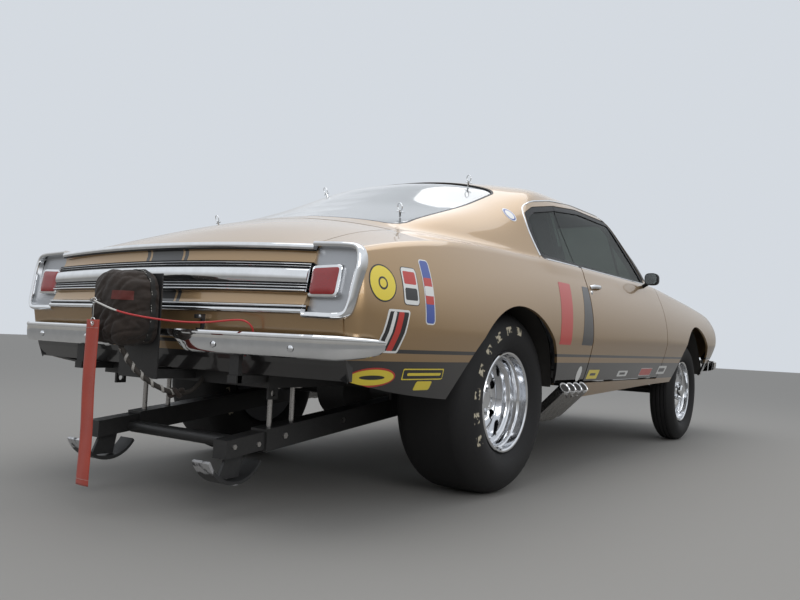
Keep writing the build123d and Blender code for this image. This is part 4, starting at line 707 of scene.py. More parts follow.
# %% Panels
upper = above(0.700)
sheets = {
    "fenders": trim(SKIN, ahead_of(-1.90), beyond(MIDLINE_HALF + GAP), front_arch, opposite(door_front(0.0451))),
    "hood": trim(SKIN, upper, within(MIDLINE_HALF), behind(HOOD_TO), opposite(hood_line(0.0845))),
    "nose_panel": trim(SKIN, within(MIDLINE_HALF + GAP), ahead_of(NOSE_FROM), upper),
    "cowl_panel": trim(SKIN, upper, body_side, hood_line(0.0785), ahead_of(-1.700), cowl_edge),
    "rocker_panels": trim(SKIN, behind(-1.960), ahead_of(-0.726), below(0.433)),
    "quarter_panels": trim(SKIN, body_side, behind(-0.6925), rear_arch,
                           lambda p: np.where(p[:, 1] > at(0.5), 0.660 - np.abs(p[:, 0]), -1.0),
                           lambda p: np.where(p[:, 1] < at(-0.36), 0.452 - p[:, 2], -1.0)),
    "deck_surround": trim(SKIN, behind(0.500), within(0.660), upper, opposite(lid_hole)),
    "deck_lid": trim(SKIN, upper, within(0.600), opposite(deck_line(0.0905)), ahead_of(1.010)),
    "roof": trim(SKIN, cabin_side, ahead_of(0.500), behind(-2.200), opposite(side_opening),
                 opposite(rear_opening), opposite(front_opening)),
}
WALLS = {"hood": 0.014, "deck_lid": 0.014, "roof": 0.020}
for name, sheet in sheets.items():
    body = name if name in ("hood", "deck_lid") else "body"
    skin = walled(f"{name}_skin", sheet, WALLS.get(name, WALL), PAINT, body, lining=BLACK_TRIM)
    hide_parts(name)
    print(name, len(sheet[1]), "faces")
for side, word in SIDES:
    sheet = trim(SKIN, on_side(side), body_side, beyond(0.784), above(0.4425), ahead_of(-0.702), door_front(0.0381))
    skin = walled(f"door_{word}_skin", sheet, 0.024, PAINT, f"door_{word}", lining=CABIN_BLACK)
    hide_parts(f"door_{word}")

# %% Glass
PANE, INSET = 0.004, 0.006
panes = {
    "windshield": ("body", trim(SKIN, front_opening)),
    "rear_glass": ("body", trim(SKIN, rear_opening)),
    "quarter_glass": ("body", trim(SKIN, cabin_side, side_opening, behind(-0.697))),
    "door_glass_left": ("door_left", trim(SKIN, on_side(1), cabin_side, side_opening, ahead_of(-0.703))),
    "door_glass_right": ("door_right", trim(SKIN, on_side(-1), cabin_side, side_opening, ahead_of(-0.703))),
}
for name, (body, sheet) in panes.items():
    tint = HAZED_GLASS if name == "rear_glass" else GLASS
    pane = walled(f"{name}_pane", offset(sheet, -INSET), PANE, tint, body)
    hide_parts(name)

# %% [markdown]
# ## Helpers for trim
# Mouldings, bumpers and tubes are one profile carried along a line, and tyres are one profile
# spun about an axle. Rows of points are joined by `rungs`, which also closes the ends, and `solid`
# turns every face outwards before it marks the sharp edges. `pair` adds the right side's copy.


# %% Solid, sweep and spin
def rungs(count, wide, ends=1):
    """Quads between looped rows of points. Ends 1 or -1 caps the last rows, 0 joins them, None leaves them."""
    faces = []
    for i in range(count if ends == 0 else count - 1):
        here, there = i * wide, (i + 1) % count * wide
        faces += [[here + k, here + (k + 1) % wide, there + (k + 1) % wide, there + k] for k in range(wide)]
    if ends:
        faces += [list(range(wide))[::ends], list(range((count - 1) * wide, count * wide))[::-ends]]
    return faces


def solid(name, verts, faces, material, body="body", slot="chrome_trim", sharp=35, replaces=()):
    """A closed mesh piece with outward faces and sharp edges marked, riding on a body."""
    obj = make_object(name, verts, faces, material)
    shape = bmesh.new()
    shape.from_mesh(obj.data)
    bmesh.ops.remove_doubles(shape, verts=shape.verts, dist=0.00002)
    bmesh.ops.recalc_face_normals(shape, faces=shape.faces)
    shape.to_mesh(obj.data)
    shape.free()
    obj.data.set_sharp_from_angle(angle=radians(sharp))
    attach(obj, body)
    if replaces:
        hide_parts(*replaces)
    return obj


def swept(points, normals, profile, closed=False):
    """Points and faces of a profile, in (sideways, outwards), carried along a line on a surface."""
    points, normals, profile = np.array(points, float), np.array(normals, float), np.array(profile, float)
    if closed:
        tangent = np.roll(points, -1, axis=0) - np.roll(points, 1, axis=0)
    else:
        tangent = np.gradient(points, axis=0)
    tangent = unit(tangent)
    side = unit(np.cross(tangent, normals))
    out = np.cross(side, tangent)
    rings = points[:, None] + side[:, None] * profile[None, :, :1] + out[:, None] * profile[None, :, 1:]
    return rings.reshape(-1, 3), rungs(len(points), len(profile), 0 if closed else 1)


def spun(profile, centre, steps=96):
    """Points and faces of a closed profile, in (out, radius), spun about an axle across the car."""
    profile = np.array(profile, float)
    turn = np.linspace(0, 2 * pi, steps, endpoint=False)
    points = np.stack([
        np.broadcast_to(profile[:, 0], (steps, len(profile))) + centre[0],
        centre[1] + np.outer(np.cos(turn), profile[:, 1]),
        centre[2] + np.outer(np.sin(turn), profile[:, 1]),
    ], axis=-1).reshape(-1, 3)
    return points, rungs(steps, len(profile), 0)


def joined(*parts):
    """Several lots of points and faces as one."""
    verts, faces, count = [], [], 0
    for points, part_faces in parts:
        verts.append(np.array(points))
        faces += [[i + count for i in face] for face in part_faces]
        count += len(points)
    return np.vstack(verts), faces


def flipped(part):
    """The same piece on the other side of the car."""
    points, faces = part
    return np.array(points) * np.array([-1, 1, 1]), [list(reversed(f)) for f in faces]


def sided(part, side):
    """A piece made for the left, on the side that is asked for."""
    return part if side > 0 else flipped(part)


def pair(name, left, *others, **settings):
    """A solid made of a piece on the left and the same piece on the right."""
    return solid(name, *joined(left, flipped(left)), *others, **settings)


def run_of(line):
    """Length along a line of points up to each of them."""
    return np.concatenate([[0], np.cumsum(np.linalg.norm(np.diff(line, axis=0), axis=1))])


def read_along(line, lengths):
    """Points at given lengths along a line of points."""
    return np.column_stack([np.interp(lengths, run_of(line), column) for column in line.T])


def curve_through(corners, radius, step=0.012):
    """A line through corners with each inner corner rounded."""
    corners = [np.array(c, float) for c in corners]
    line = [corners[0]]
    for before, here, after in zip(corners, corners[1:], corners[2:]):
        a, b = before - here, after - here
        reach = min(radius, 0.45 * np.linalg.norm(a), 0.45 * np.linalg.norm(b))
        start, end = here + a / np.linalg.norm(a) * reach, here + b / np.linalg.norm(b) * reach
        for t in np.linspace(0, 1, 7):
            line.append(start * (1 - t) ** 2 + here * 2 * t * (1 - t) + end * t ** 2)
    line.append(corners[-1])
    line = np.array(line)
    length = run_of(line)[-1]
    return read_along(line, np.linspace(0, length, max(3, int(length / step))))


# %% Places on the skin
skin_points = SKIN[0]
skin_tree = BVHTree.FromPolygons([tuple(v[:3]) for v in skin_points], SKIN[1])


def land(points, direction):
    """Where lines through the points meet the skin, and the skin's normals there."""
    hits, directions = [], []
    for point in points:
        hit, _, face, _ = skin_tree.ray_cast(Vector(point) - Vector(direction) * 3, Vector(direction))
        near = skin_points[SKIN[1][face]]
        weight = 1 / (np.linalg.norm(near[:, :3] - np.array(hit), axis=1) ** 2 + 1e-9)
        hits.append(tuple(hit))
        directions.append(unit((near[:, 3:6] * weight[:, None]).sum(axis=0)))
    return np.array(hits), np.array(directions)


def on_flank(line, side=1):
    """A line of (aft, up) laid on the flank of the skin."""
    return land([(0, at(aft), up) for aft, up in line], (-side, 0, 0))


def on_top(line):
    """A line of (out, aft) laid on top of the skin."""
    return land([(out, at(aft), 0) for out, aft in line], (0, 0, -1))


HALF_ROUND = [(-1, 0), (-0.92, 0.45), (-0.6, 0.85), (0, 1), (0.6, 0.85), (0.92, 0.45), (1, 0),
              (0.8, -0.4), (-0.8, -0.4)]


def bead(width, height):
    """A half round moulding profile."""
    return [(x * width / 2, y * height) for x, y in HALF_ROUND]


# %% [markdown]
# ## Tail
# The tail is a stack of bright mouldings between two silver corner frames. Its rows follow two
# bowed edges, the upper one further forward, so every row is one profile carried between them.
# The mouldings, the strips and the fine black lines are rows of one small table.

# %% Tail rows
def tail_place(out, up, share, proud):
    """A point of the tail at a distance out, between its upper and lower edges."""
    bow = (out / 0.790) ** 2
    aft = (1 - share) * (1.078 - 0.053 * bow) + share * (1.102 - 0.022 * bow) + proud
    return (out, at(aft), up + (1 - share) * 0.025 * (0.68 - bow))


def tail_row(profile, reach=0.648, count=60):
    """A closed profile of (up, proud) rows carried across the tail."""
    outs = np.linspace(-reach, reach, count)
    points = np.array([tail_place(out, up, np.clip((0.876 - up) / 0.208, 0, 1), proud) for out in outs
                       for up, proud in profile])
    return points, rungs(count, len(profile))


def round_row(top, bottom, proud, back=-0.012):
    """A row whose face is a rounded bar between two heights."""
    middle, half = (top + bottom) / 2, (top - bottom) / 2
    turns = np.linspace(pi / 2, -pi / 2, 9)
    face = [(middle + half * sin(t), proud * cos(t) + 0.001) for t in turns]
    return [(top, back)] + face + [(bottom, back)]


bright_rows = [round_row(0.878, 0.860, 0.006), round_row(0.8165, 0.8120, 0.006), round_row(0.8085, 0.8050, 0.006),
               round_row(0.8015, 0.7560, 0.010), round_row(0.7525, 0.7490, 0.006), round_row(0.7455, 0.7400, 0.006),
               round_row(0.7365, 0.7290, 0.008), round_row(0.690, 0.6815, 0.008), round_row(0.6780, 0.6620, 0.009)]
chrome_rows = joined(*[tail_row(row) for row in bright_rows])
solid("tail_mouldings", *chrome_rows, CHROME)
black_rows = joined(*[tail_row([(top, -0.014), (top, back), (low, back), (low, -0.014)])
                      for top, low, back in ((0.8600, 0.8560, 0.0), (0.8200, 0.7270, 0.0010), (0.6830, 0.6760, 0.003))])
solid("tail_dark_lines", *black_rows, BLACK_TRIM, slot="black_plastic")
upper_strip = [(0.860, -0.030), (0.860, -0.006), (0.852, -0.014), (0.838, -0.015), (0.822, -0.011), (0.818, -0.004),
               (0.818, -0.030)]
lower_strip = [(0.729, -0.030), (0.729, 0.0), (0.722, -0.009), (0.700, -0.005), (0.690, -0.001), (0.688, 0.002),
               (0.688, -0.030)]
solid("tail_strips", *joined(tail_row(upper_strip), tail_row(lower_strip)), PAINT, slot="gold_paint",
      replaces=("tail_panel",))
print("tail rows:", len(bright_rows), "bright")


# %% Corner frames and lamps
def frame_place(out, up, proud=0.0):
    """A point on the slanted face of a corner frame."""
    return (out, at(1.084 - (up - 0.664) / 0.204 * 0.038 - 0.10 * max(abs(out) - 0.76, 0) ** 1.0 + proud), up)


FRAME_LINE = [(0.645, 0.874), (0.770, 0.868), (0.812, 0.862), (0.820, 0.820), (0.808, 0.700), (0.800, 0.668),
              (0.765, 0.664), (0.645, 0.666)]
outer = curve_through(FRAME_LINE, 0.034, 0.006)
frame_points = [frame_place(out, up) for out, up in outer]
frame_normals = [(0, cos(0.18), sin(0.18))] * len(outer)
rim = [(-0.004, -0.045), (-0.004, -0.004), (-0.002, 0.003), (0.003, 0.006), (0.009, 0.006), (0.013, 0.002),
       (0.015, -0.006), (0.016, -0.024), (0.006, -0.045)]
pair("corner_frame_rims", swept(frame_points, frame_normals, rim), CHROME)
pan = np.array([frame_place(min(out, 0.812), up, depth) for depth in (-0.022, -0.034) for out, up in outer])
SILVER = finish("silver_paint", (0.46, 0.47, 0.49), 0.38, 0.7, 500, 0.06)
pair("corner_frame_pans", (pan, rungs(2, len(outer))), SILVER, slot="polished_alloy")


def lens(outs, ups, proud, back, ease=0.012):
    """A rounded lens block on a corner frame, as a lid of rings that close towards its middle."""
    corners = [(outs[0], ups[0]), (outs[1], ups[0] + 0.003), (outs[1] - 0.004, ups[1]), (outs[0], ups[1])]
    start = ((outs[0] + outs[1]) / 2, ups[0] + 0.0015)
    loop = curve_through([start] + corners[1:] + [corners[0], start], ease, 0.005)[:-1]
    middle = loop.mean(axis=0)
    sizes = ((1.0, back), (1.0, proud - 0.004), (0.97, proud - 0.001), (0.92, proud), (0.5, proud + 0.001))
    points = [frame_place(*(middle + (p - middle) * size), height) for size, height in sizes for p in loop]
    return np.array(points), rungs(len(sizes), len(loop), -1)


LENS = finish("red_lens", (0.33, 0.010, 0.012), 0.12, 0.0, 240, 0.05, 0.0006, (0.20, 0.006, 0.008), Coat_Weight=0.6)
left_lens = lens((0.657, 0.758), (0.803, 0.722), 0.002, -0.024)
left_frame = lens((0.647, 0.767), (0.812, 0.713), -0.003, -0.024, 0.016)
pair("tail_lenses", left_lens, LENS, slot="lamp_lens", replaces=("lamps",))
pair("tail_lens_frames", left_frame, CHROME)

# %% [markdown]
# ## Bumpers
# Each bumper is a chromed blade that bows in plan and wraps round its corners. Its section has a
# flat ledge on top, a slightly crowned face and a tucked lower lip. The rear blade's lower half
# is cut away in the middle, where the parachute pack sits, and both blades thin out at the tips.


# %% Bumper blades
def three_point(a, b, c, count):
    """Points of the circle through three plan points, from the first to the last."""
    (ax, ay), (bx, by), (cx, cy) = a, b, c
    d = 2 * (ax * (by - cy) + bx * (cy - ay) + cx * (ay - by))
    ux = ((ax**2 + ay**2) * (by - cy) + (bx**2 + by**2) * (cy - ay) + (cx**2 + cy**2) * (ay - by)) / d
    uy = ((ax**2 + ay**2) * (cx - bx) + (bx**2 + by**2) * (ax - cx) + (cx**2 + cy**2) * (bx - ax)) / d
    turns = np.unwrap([np.arctan2(y - uy, x - ux) for x, y in (a, b, c)])
    radius = hypot(ax - ux, ay - uy)
    t = np.interp(np.linspace(0, 2, count), [0, 1, 2], turns)
    return np.column_stack([ux + radius * np.cos(t), uy + radius * np.sin(t)])


def blade(middle_aft, corner, bend, tip, ups, turn, notch=0.0):
    """A bumper blade along its plan line, drawn in towards the body at its inner edge."""
    front = three_point((-corner[0], corner[1]), (0, middle_aft), corner, 81)
    wrap = three_point(corner, bend, tip, 25)[1:]
    line = np.vstack([wrap[::-1] * [-1, 1], front, wrap])
    tangent = unit(np.gradient(line, axis=0))
    inward = np.column_stack([tangent[:, 1], -tangent[:, 0]]) * turn
    low, high = ups
    section = [(0.020, 1.0), (0.004, 1.0), (0.0, 0.93), (-0.0005, 0.86), (0.002, 0.80), (0.0015, 0.5), (0.004, 0.16),
               (0.008, 0.05), (0.014, 0.0), (0.020, 0.03), (0.017, 0.2), (0.015, 0.9)]
    rows = []
    ends = len(wrap)
    for i, (place, inner) in enumerate(zip(line, inward)):
        edge = min(i, len(line) - 1 - i) / ends
        thin = min(1.0, edge * 1.6) ** 0.5
        bottom = low + (high - low) * 0.42 * (1 - thin)
        top = high - (high - low) * 0.14 * (1 - thin)
        if notch:
            cut = np.clip((0.205 - abs(place[0])) / 0.075, 0, 1)
            bottom = max(bottom, low + notch * cut * cut * (3 - 2 * cut))
        rows.append([(*(place + inner * depth), bottom + (top - bottom) * share) for depth, share in section])
    return np.array([(x, at(y), z) for row in rows for x, y, z in row]), rungs(len(rows), len(section))


rear_blade = blade(1.148, (0.700, 1.118), (0.815, 1.079), (0.872, 0.960), (0.528, 0.600), 1, 0.046)
solid("rear_bumper_blade", *rear_blade, CHROME, replaces=("rear_bumper",), sharp=28)
front_blade = blade(-3.712, (0.600, -3.695), (0.760, -3.650), (0.850, -3.500), (0.455, 0.545), -1)
solid("front_bumper_blade", *front_blade, CHROME, replaces=("front_bumper",), sharp=28)


def block(outs, afts, ups):
    """Points and faces of a plain bar between limits, for brackets."""
    corners = [(x, at(y), z) for z in ups for y in afts for x in outs]
    return np.array(corners), [[0, 2, 3, 1], [4, 5, 7, 6], [0, 1, 5, 4], [2, 6, 7, 3], [0, 4, 6, 2], [1, 3, 7, 5]]


BLACK_STEEL = finish("black_steel", (0.018, 0.018, 0.019), 0.42, 0.1, 70, 0.12, 0.0004, (0.035, 0.034, 0.033))
brackets = []
for side in (1, -1):
    limits = sorted((side * 0.380, side * 0.420))
    brackets += [block(limits, (0.980, 1.118), (0.438, 0.462)), block(limits, (1.094, 1.112), (0.438, 0.558)),
                 block(limits, (-3.690, -3.420), (0.430, 0.478))]
solid("bumper_brackets", *joined(*brackets), BLACK_STEEL, slot="black_steel")
print("bumper points:", len(rear_blade[0]))

# %% [markdown]
# ## Closing the tail and the nose
# The skin ends in two open rings. Behind, a short return panel leads it round to the corner
# frames, like the folded end of a real quarter panel. Each of its points follows a quadratic
# Bezier curve that leaves the skin along the skin's own direction. In front, the face is one
# closed loop of rings between the skin's outline and the grille's opening.

# %% Tail return
TAIL_LIMIT = np.array([
    (0.000, 1.072, 0.889), (0.350, 1.060, 0.885), (0.645, 1.036, 0.874), (0.770, 1.032, 0.871), (0.806, 1.030, 0.866),
    (0.818, 1.030, 0.856), (0.823, 1.034, 0.820), (0.811, 1.058, 0.700), (0.802, 1.066, 0.668), (0.792, 1.066, 0.655),
    (0.790, 1.058, 0.610), (0.789, 1.048, 0.560), (0.788, 1.036, 0.510), (0.785, 1.022, 0.466), (0.760, 1.010, 0.420)])
end_half = half[-1]
limit_turn, end_turn = polar(TAIL_LIMIT[:, ::2])[0], polar(end_half[:, ::2])[0]
goal = np.column_stack([np.interp(end_turn, limit_turn[::-1], column[::-1]) for column in TAIL_LIMIT.T])
goal[:, 1] += REAR_AXLE
leaving = unit(half[-1] - half[-2])
reach = np.linalg.norm(goal - end_half, axis=1)[:, None]
middle = end_half + leaving * reach * 0.5
return_rows = np.array([(1 - t) ** 2 * end_half + 2 * t * (1 - t) * middle + t * t * goal
                        for t in np.linspace(0, 1, 8)])
return_rows = np.concatenate([return_rows, return_rows[:, -2::-1] * [-1, 1, 1]], axis=1)
return_normals = grid_normals(return_rows, 3)
return_normals[0] = normals[-1]
return_points = np.hstack([return_rows.reshape(-1, 3), return_normals.reshape(-1, 3)])
return_faces = agreeing(return_points[:, :3], return_points[:, 3:], grid_quads(*return_rows.shape[:2]), 5)
walled("tail_return", (return_points, return_faces.tolist()), 0.004, PAINT, lining=BLACK_TRIM)
print("tail return:", len(return_faces), "faces")


# %% Nose face and headlamps
def superellipse(half_out, half_up, turn, power=6):
    """Distance from the middle to a rounded oblong's edge in a direction."""
    return 1 / (abs(cos(turn) / half_out) ** power + abs(sin(turn) / half_up) ** power) ** (1 / power)


front_ring = np.vstack([ring[0][:, [0, 2]], [(-0.70 + 0.05 * k, 0.560) for k in range(1, 28)]])
face_up = 0.676
outline_turn = np.arctan2(front_ring[:, 1] - face_up, front_ring[:, 0])
outline_reach = np.hypot(front_ring[:, 0], front_ring[:, 1] - face_up)
order = np.argsort(outline_turn)
turns = np.linspace(-pi, pi, 240, endpoint=False)
outer = np.interp(turns, outline_turn[order], outline_reach[order], period=2 * pi)
inner = np.array([superellipse(0.628, 0.082, turn, 9) for turn in turns])
rings = []
for share, aft in ((0.0, -3.670), (0.05, -3.676), (0.25, -3.682), (0.90, -3.682), (0.98, -3.679), (1.0, -3.672),
                   (1.0, -3.648), (0.4, -3.650), (0.03, -3.655)):
    reach = outer * (1 - share) + inner * share
    rings.append(np.column_stack([reach * np.cos(turns), np.full(240, at(aft)), face_up + reach * np.sin(turns)]))
face_quads = rungs(len(rings), 240, 0)
solid("nose_face", np.vstack(rings), face_quads, PAINT, slot="gold_paint")


def faced(profile, out, aft, up, turn=-1, steps=64):
    """A profile of (forward, radius) spun about a lengthwise axis, facing the nose or the tail."""
    points, faces = spun(profile, (0, 0, 0), steps)
    return np.column_stack([points[:, 1] + out, at(aft) + turn * points[:, 0], points[:, 2] + up]), faces


HEAD_GLASS = finish("headlamp_glass", (0.80, 0.84, 0.86), 0.06, 0.0, 30, 0.02, 0.0004, Transmission_Weight=0.6)
bulb = [(0, 0), (0, 0.066), (0.005, 0.066), (0.011, 0.058), (0.016, 0.040), (0.019, 0.020), (0.020, 0)]
collar = [(-0.010, 0.066), (-0.010, 0.078), (0.004, 0.080), (0.008, 0.077), (0.006, 0.070), (0.000, 0.066)]
solid("headlamp_glasses", *joined(*[faced(bulb, side * 0.535, -3.662, 0.676) for side in (1, -1)]), HEAD_GLASS,
      slot="lamp_lens")
solid("headlamp_collars", *joined(*[faced(collar, side * 0.535, -3.664, 0.676) for side in (1, -1)]), CHROME)
post_line = [(0, at(-3.676), up) for up in np.linspace(0.590, 0.762, 9)]
solid("grille_post", *swept(post_line, [(0, -1, 0)] * 9, bead(0.118, 0.010)), PAINT, slot="gold_paint")
print("nose face:", len(face_quads), "faces")

# %% [markdown]
# ## Bare metal, castings and sheet
# The solids whose shape is right keep their mesh and only get a better finish. Steel is brushed
# and a little brown, the castings are rough and the bulkheads are dull aluminium sheet. The floor,
# tubs and arch liners are near black with dusty patches: dust, and painted shade where they lie
# under the car and in the arches. The frame is black paint that has gathered dust.

# %% Finishes of the carried-over solids
BARE_STEEL = finish("bare_steel", (0.52, 0.51, 0.50), 0.30, 0.95, 160, 0.12, 0.0002, (0.34, 0.32, 0.30))
ALLOY = finish("polished_alloy", (0.84, 0.85, 0.87), 0.10, 1.0, 35, 0.06)
SHEET_METAL = finish("sheet_aluminium", (0.40, 0.41, 0.42), 0.42, 0.8, 60, 0.12, 0.0003)
CAST_IRON = finish("cast_iron", (0.12, 0.12, 0.13), 0.62, 0.5, 240, 0.12, 0.0008)
PLASTIC = finish("black_plastic", (0.018, 0.018, 0.018), 0.5, 0.0, 300, 0.08, 0.0003)
# Near black with lighter dusty patches: real dust, and painted shade for the floor, tubs, arch liners and pipe mouths,
# which lie under the car or in hollows.
DUST_AND_SHADE = finish("dusty_black_and_shade", (0.016, 0.015, 0.014), 0.75, 0.0, 30, 0.12, 0.0006, (0.040, 0.036, 0.032))


def dress(material, *names):
    """Gives carried-over solids a finish through their material slots."""
    for name in names:
        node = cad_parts[name]
        if not node.material_slots:
            node.data.materials.append(material)
        for place in node.material_slots:
            place.material = material


dress(BLACK_STEEL, "frame_rails", "crossmembers", "rear_axle", "front_axle", "knuckle_left", "knuckle_right",
      "hinge_posts", "wheelie_arms", "wheelie_cross_tube", "cage_hoop", "parachute_mount")
dress(BARE_STEEL, "wheelie_rods", "parachute_pin", "headers")
dress(SHEET_METAL, "bulkheads")
dress(DUST_AND_SHADE, "floor_pan", "wheel_tubs")
dress(CAST_IRON, "engine_block")
dress(ALLOY, "engine_injector", "engine_covers")
dress(PLASTIC, "dash_panel", "steering_wheel")
dress(CHROME, "grille")
dress(PAINT, "roll_pan")


def worn_shoes():
    """Black paint that the ground has scraped to bare steel along the skid shoes' soles."""
    material = finish("worn_shoe_paint", (0.016, 0.016, 0.017), 0.45, 0.2, 90, 0.12, 0.0004, (0.04, 0.04, 0.04))
    tree, shader, place, (_, y, z) = parts_of(material)
    cloud = wire(tree, "ShaderNodeTexNoise", {"Vector": place, "Scale": 38.0, "Detail": 6.0}).outputs["Fac"]
    worn = maths(tree, "MAXIMUM", ramped(tree, y, at(1.115), at(1.150)), ramped(tree, z, 0.114, 0.106))
    bare = ramped(tree, maths(tree, "MULTIPLY", worn, cloud), 0.36, 0.50)
    covered(tree, shader, bare, (0.62, 0.62, 0.63))
    tree.links.new(bare, shader.inputs["Metallic"])
    return material


dress(worn_shoes(), "wheelie_skids")
print("dressed solids:", sum(1 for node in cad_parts.values() if node.material_slots))

# %% [markdown]
# ## Wheels and tyres
# A spun wheel is one profile turned about the axle: a bright lip, a step and a deep barrel. Its
# centre is a pressed disc with openings, made as a flat ring of faces and trimmed like a body
# panel. The tyres are spun too, with fine moulded rings on their sides. The big slicks carry
# worn cream marks where paint has rubbed off, drawn by angle and radius about the axle.


# %% Studs by Geometry Nodes
def nodes_tree(name, **sockets):
    """A Geometry Nodes tree with named inputs, and the sockets that give them."""
    tree = bpy.data.node_groups.new(name, "GeometryNodeTree")
    for socket, kind in sockets.items():
        tree.interface.new_socket(socket.replace("_", " "), in_out="INPUT", socket_type=f"NodeSocket{kind}")
    tree.interface.new_socket("Geometry", in_out="OUTPUT", socket_type="NodeSocketGeometry")
    return tree, tree.nodes.new("NodeGroupInput").outputs


def handed_out(tree, geometry, material):
    """The tree with its instances made real, given a material and sent to its output."""
    real = wire(tree, "GeometryNodeRealizeInstances", {"Geometry": geometry})
    done = wire(tree, "GeometryNodeSetMaterial", {"Geometry": real.outputs[0], "Material": material})
    wire(tree, "NodeGroupOutput", {0: done.outputs[0]})
    return tree


def grown(holder, tree, values):
    """Points and faces that a tree makes on an object, which is removed afterwards."""
    modifier = holder.modifiers.new(tree.name, "NODES")
    modifier.node_group = tree
    for item in tree.interface.items_tree:
        if item.in_out == "INPUT" and item.name in values:
            modifier[item.identifier] = values[item.name]
    mesh = evaluated(holder)
    bpy.data.objects.remove(holder)
    return np.array([v.co for v in mesh.vertices]), [list(p.vertices) for p in mesh.polygons]


def stud_tree():
    """A ring of studs about the X axis, with every size as a named input."""
    tree, given = nodes_tree("ring_of_studs", Count="Int", Ring_Radius="Float", Stud_Radius="Float",
                             Stud_Height="Float", Sides="Int", Finish="Material")
    circle = wire(tree, "GeometryNodeMeshCircle", {"Vertices": given["Count"], "Radius": given["Ring Radius"]})
    stud = wire(tree, "GeometryNodeMeshCylinder", {
        "Vertices": given["Sides"], "Radius": given["Stud Radius"], "Depth": given["Stud Height"]})
    placed = wire(tree, "GeometryNodeInstanceOnPoints", {"Points": circle.outputs[0], "Instance": stud.outputs["Mesh"]})
    turned = wire(tree, "GeometryNodeTransform", {"Geometry": placed.outputs[0], "Rotation": (0, pi / 2, 0)})
    return handed_out(tree, turned.outputs[0], given["Finish"])


STUDS = stud_tree()


def turned_to(points, towards):
    """Points about the X axis, turned so that it runs in a direction."""
    return points @ np.array(Vector((1, 0, 0)).rotation_difference(Vector(towards)).to_matrix()).T


def studs(centre, count, ring_radius, size, height, sides=6, towards=(1, 0, 0)):
    """Points and faces of a ring of studs whose axis points from a centre in a direction."""
    points, faces = grown(add("stud_holder", bpy.data.meshes.new("stud_holder")), STUDS, {
        "Count": max(count, 3), "Ring Radius": ring_radius, "Stud Radius": size, "Stud Height": height,
        "Sides": sides, "Finish": CHROME})
    if count == 1:
        points = points[:len(points) // 3]
        faces = [f for f in faces if max(f) < len(points)]
        points = points - points.mean(axis=0)
    return turned_to(points, towards) + np.array(centre), faces


def bolt(centre, size, height, towards):
    """One six-sided bolt head."""
    return studs(centre, 1, 0.0, size, height, 6, towards)


print("studs:", len(studs((0, 0, 0), 5, 0.05, 0.01, 0.02)[1]), "faces in a ring of five")


# %% Rims
def bent(a, b, c, count=14):
    """Points of the arc through three places, without the first."""
    return [tuple(p) for p in three_point(a, b, c, count)[1:]]


REAR_RIM = [
    (0.8020, 0.2020), (0.8050, 0.1990), (0.8050, 0.1930), (0.8010, 0.1880), (0.7720, 0.1860), (0.7690, 0.1830),
    (0.7680, 0.1790), (0.7640, 0.1770), (0.7360, 0.1740), (0.7320, 0.1700), (0.7290, 0.1600), (0.7250, 0.1570),
    (0.6930, 0.1540), (0.6700, 0.1530), (0.6640, 0.1560), (0.6640, 0.1840), (0.5120, 0.1840), (0.5040, 0.1860),
    (0.5040, 0.2020), (0.5100, 0.2020), (0.5100, 0.1930), (0.7960, 0.1930), (0.7960, 0.2020)]
REAR_HUB = [(0.6560, 0.0250), (0.6560, 0.0620), (0.6920, 0.0600), (0.6960, 0.0560), (0.6980, 0.0450), (0.7120, 0.0400),
            (0.7160, 0.0340), (0.7160, 0.0), (0.7060, 0.0), (0.7060, 0.0250)]
FRONT_RIM = [
    (0.7860, 0.2050), (0.7890, 0.2020), (0.7890, 0.1960), (0.7850, 0.1905), (0.7640, 0.1890), (0.7560, 0.1860),
    (0.7500, 0.1760), (0.7420, 0.1740), (0.7380, 0.1770), (0.7380, 0.1870), (0.6860, 0.1870), (0.6780, 0.1890),
    (0.6780, 0.2050), (0.6840, 0.2050), (0.6840, 0.1960), (0.7800, 0.1960), (0.7800, 0.2050)]
FRONT_HUB = [(0.7300, 0.0180), (0.7300, 0.0600), (0.7620, 0.0560), (0.7700, 0.0460), (0.7900, 0.0420), (0.7970, 0.0340),
             (0.7970, 0.0), (0.7790, 0.0), (0.7790, 0.0180)]


def wheel_disc(side, aft, up, face, radii, count, hole_ring, hole_size, long):
    """A pressed disc across the car, made as a sheet and trimmed by a ring of openings."""
    steps = 140
    turn = np.linspace(0, 2 * pi, steps, endpoint=False)
    rows = np.linspace(radii[0], radii[1], 26)
    crown = 0.012 * np.sin(pi * (rows - radii[0]) / (radii[1] - radii[0]))
    x = side * (face + np.repeat(crown, steps))
    r, t = np.repeat(rows, steps), np.tile(turn, len(rows))
    slope = np.repeat(np.gradient(crown, rows), steps)
    normal = unit(np.column_stack([np.full_like(r, side), -slope * np.cos(t), -slope * np.sin(t)]))
    verts = np.column_stack([x, at(aft) + r * np.cos(t), up + r * np.sin(t), normal, np.zeros_like(r)])
    faces = [face[::-1] if side > 0 else face for face in rungs(len(rows), steps, None)]

    def openings(p):
        y, z = p[:, 1] - at(aft), p[:, 2] - up
        radius, angle = np.hypot(y, z), np.arctan2(z, y)
        pitch = 2 * pi / count
        local = (angle / pitch - np.round(angle / pitch)) * pitch * radius
        return hole_size - np.hypot((radius - hole_ring) / long, local)
    return trim((verts, faces), openings)


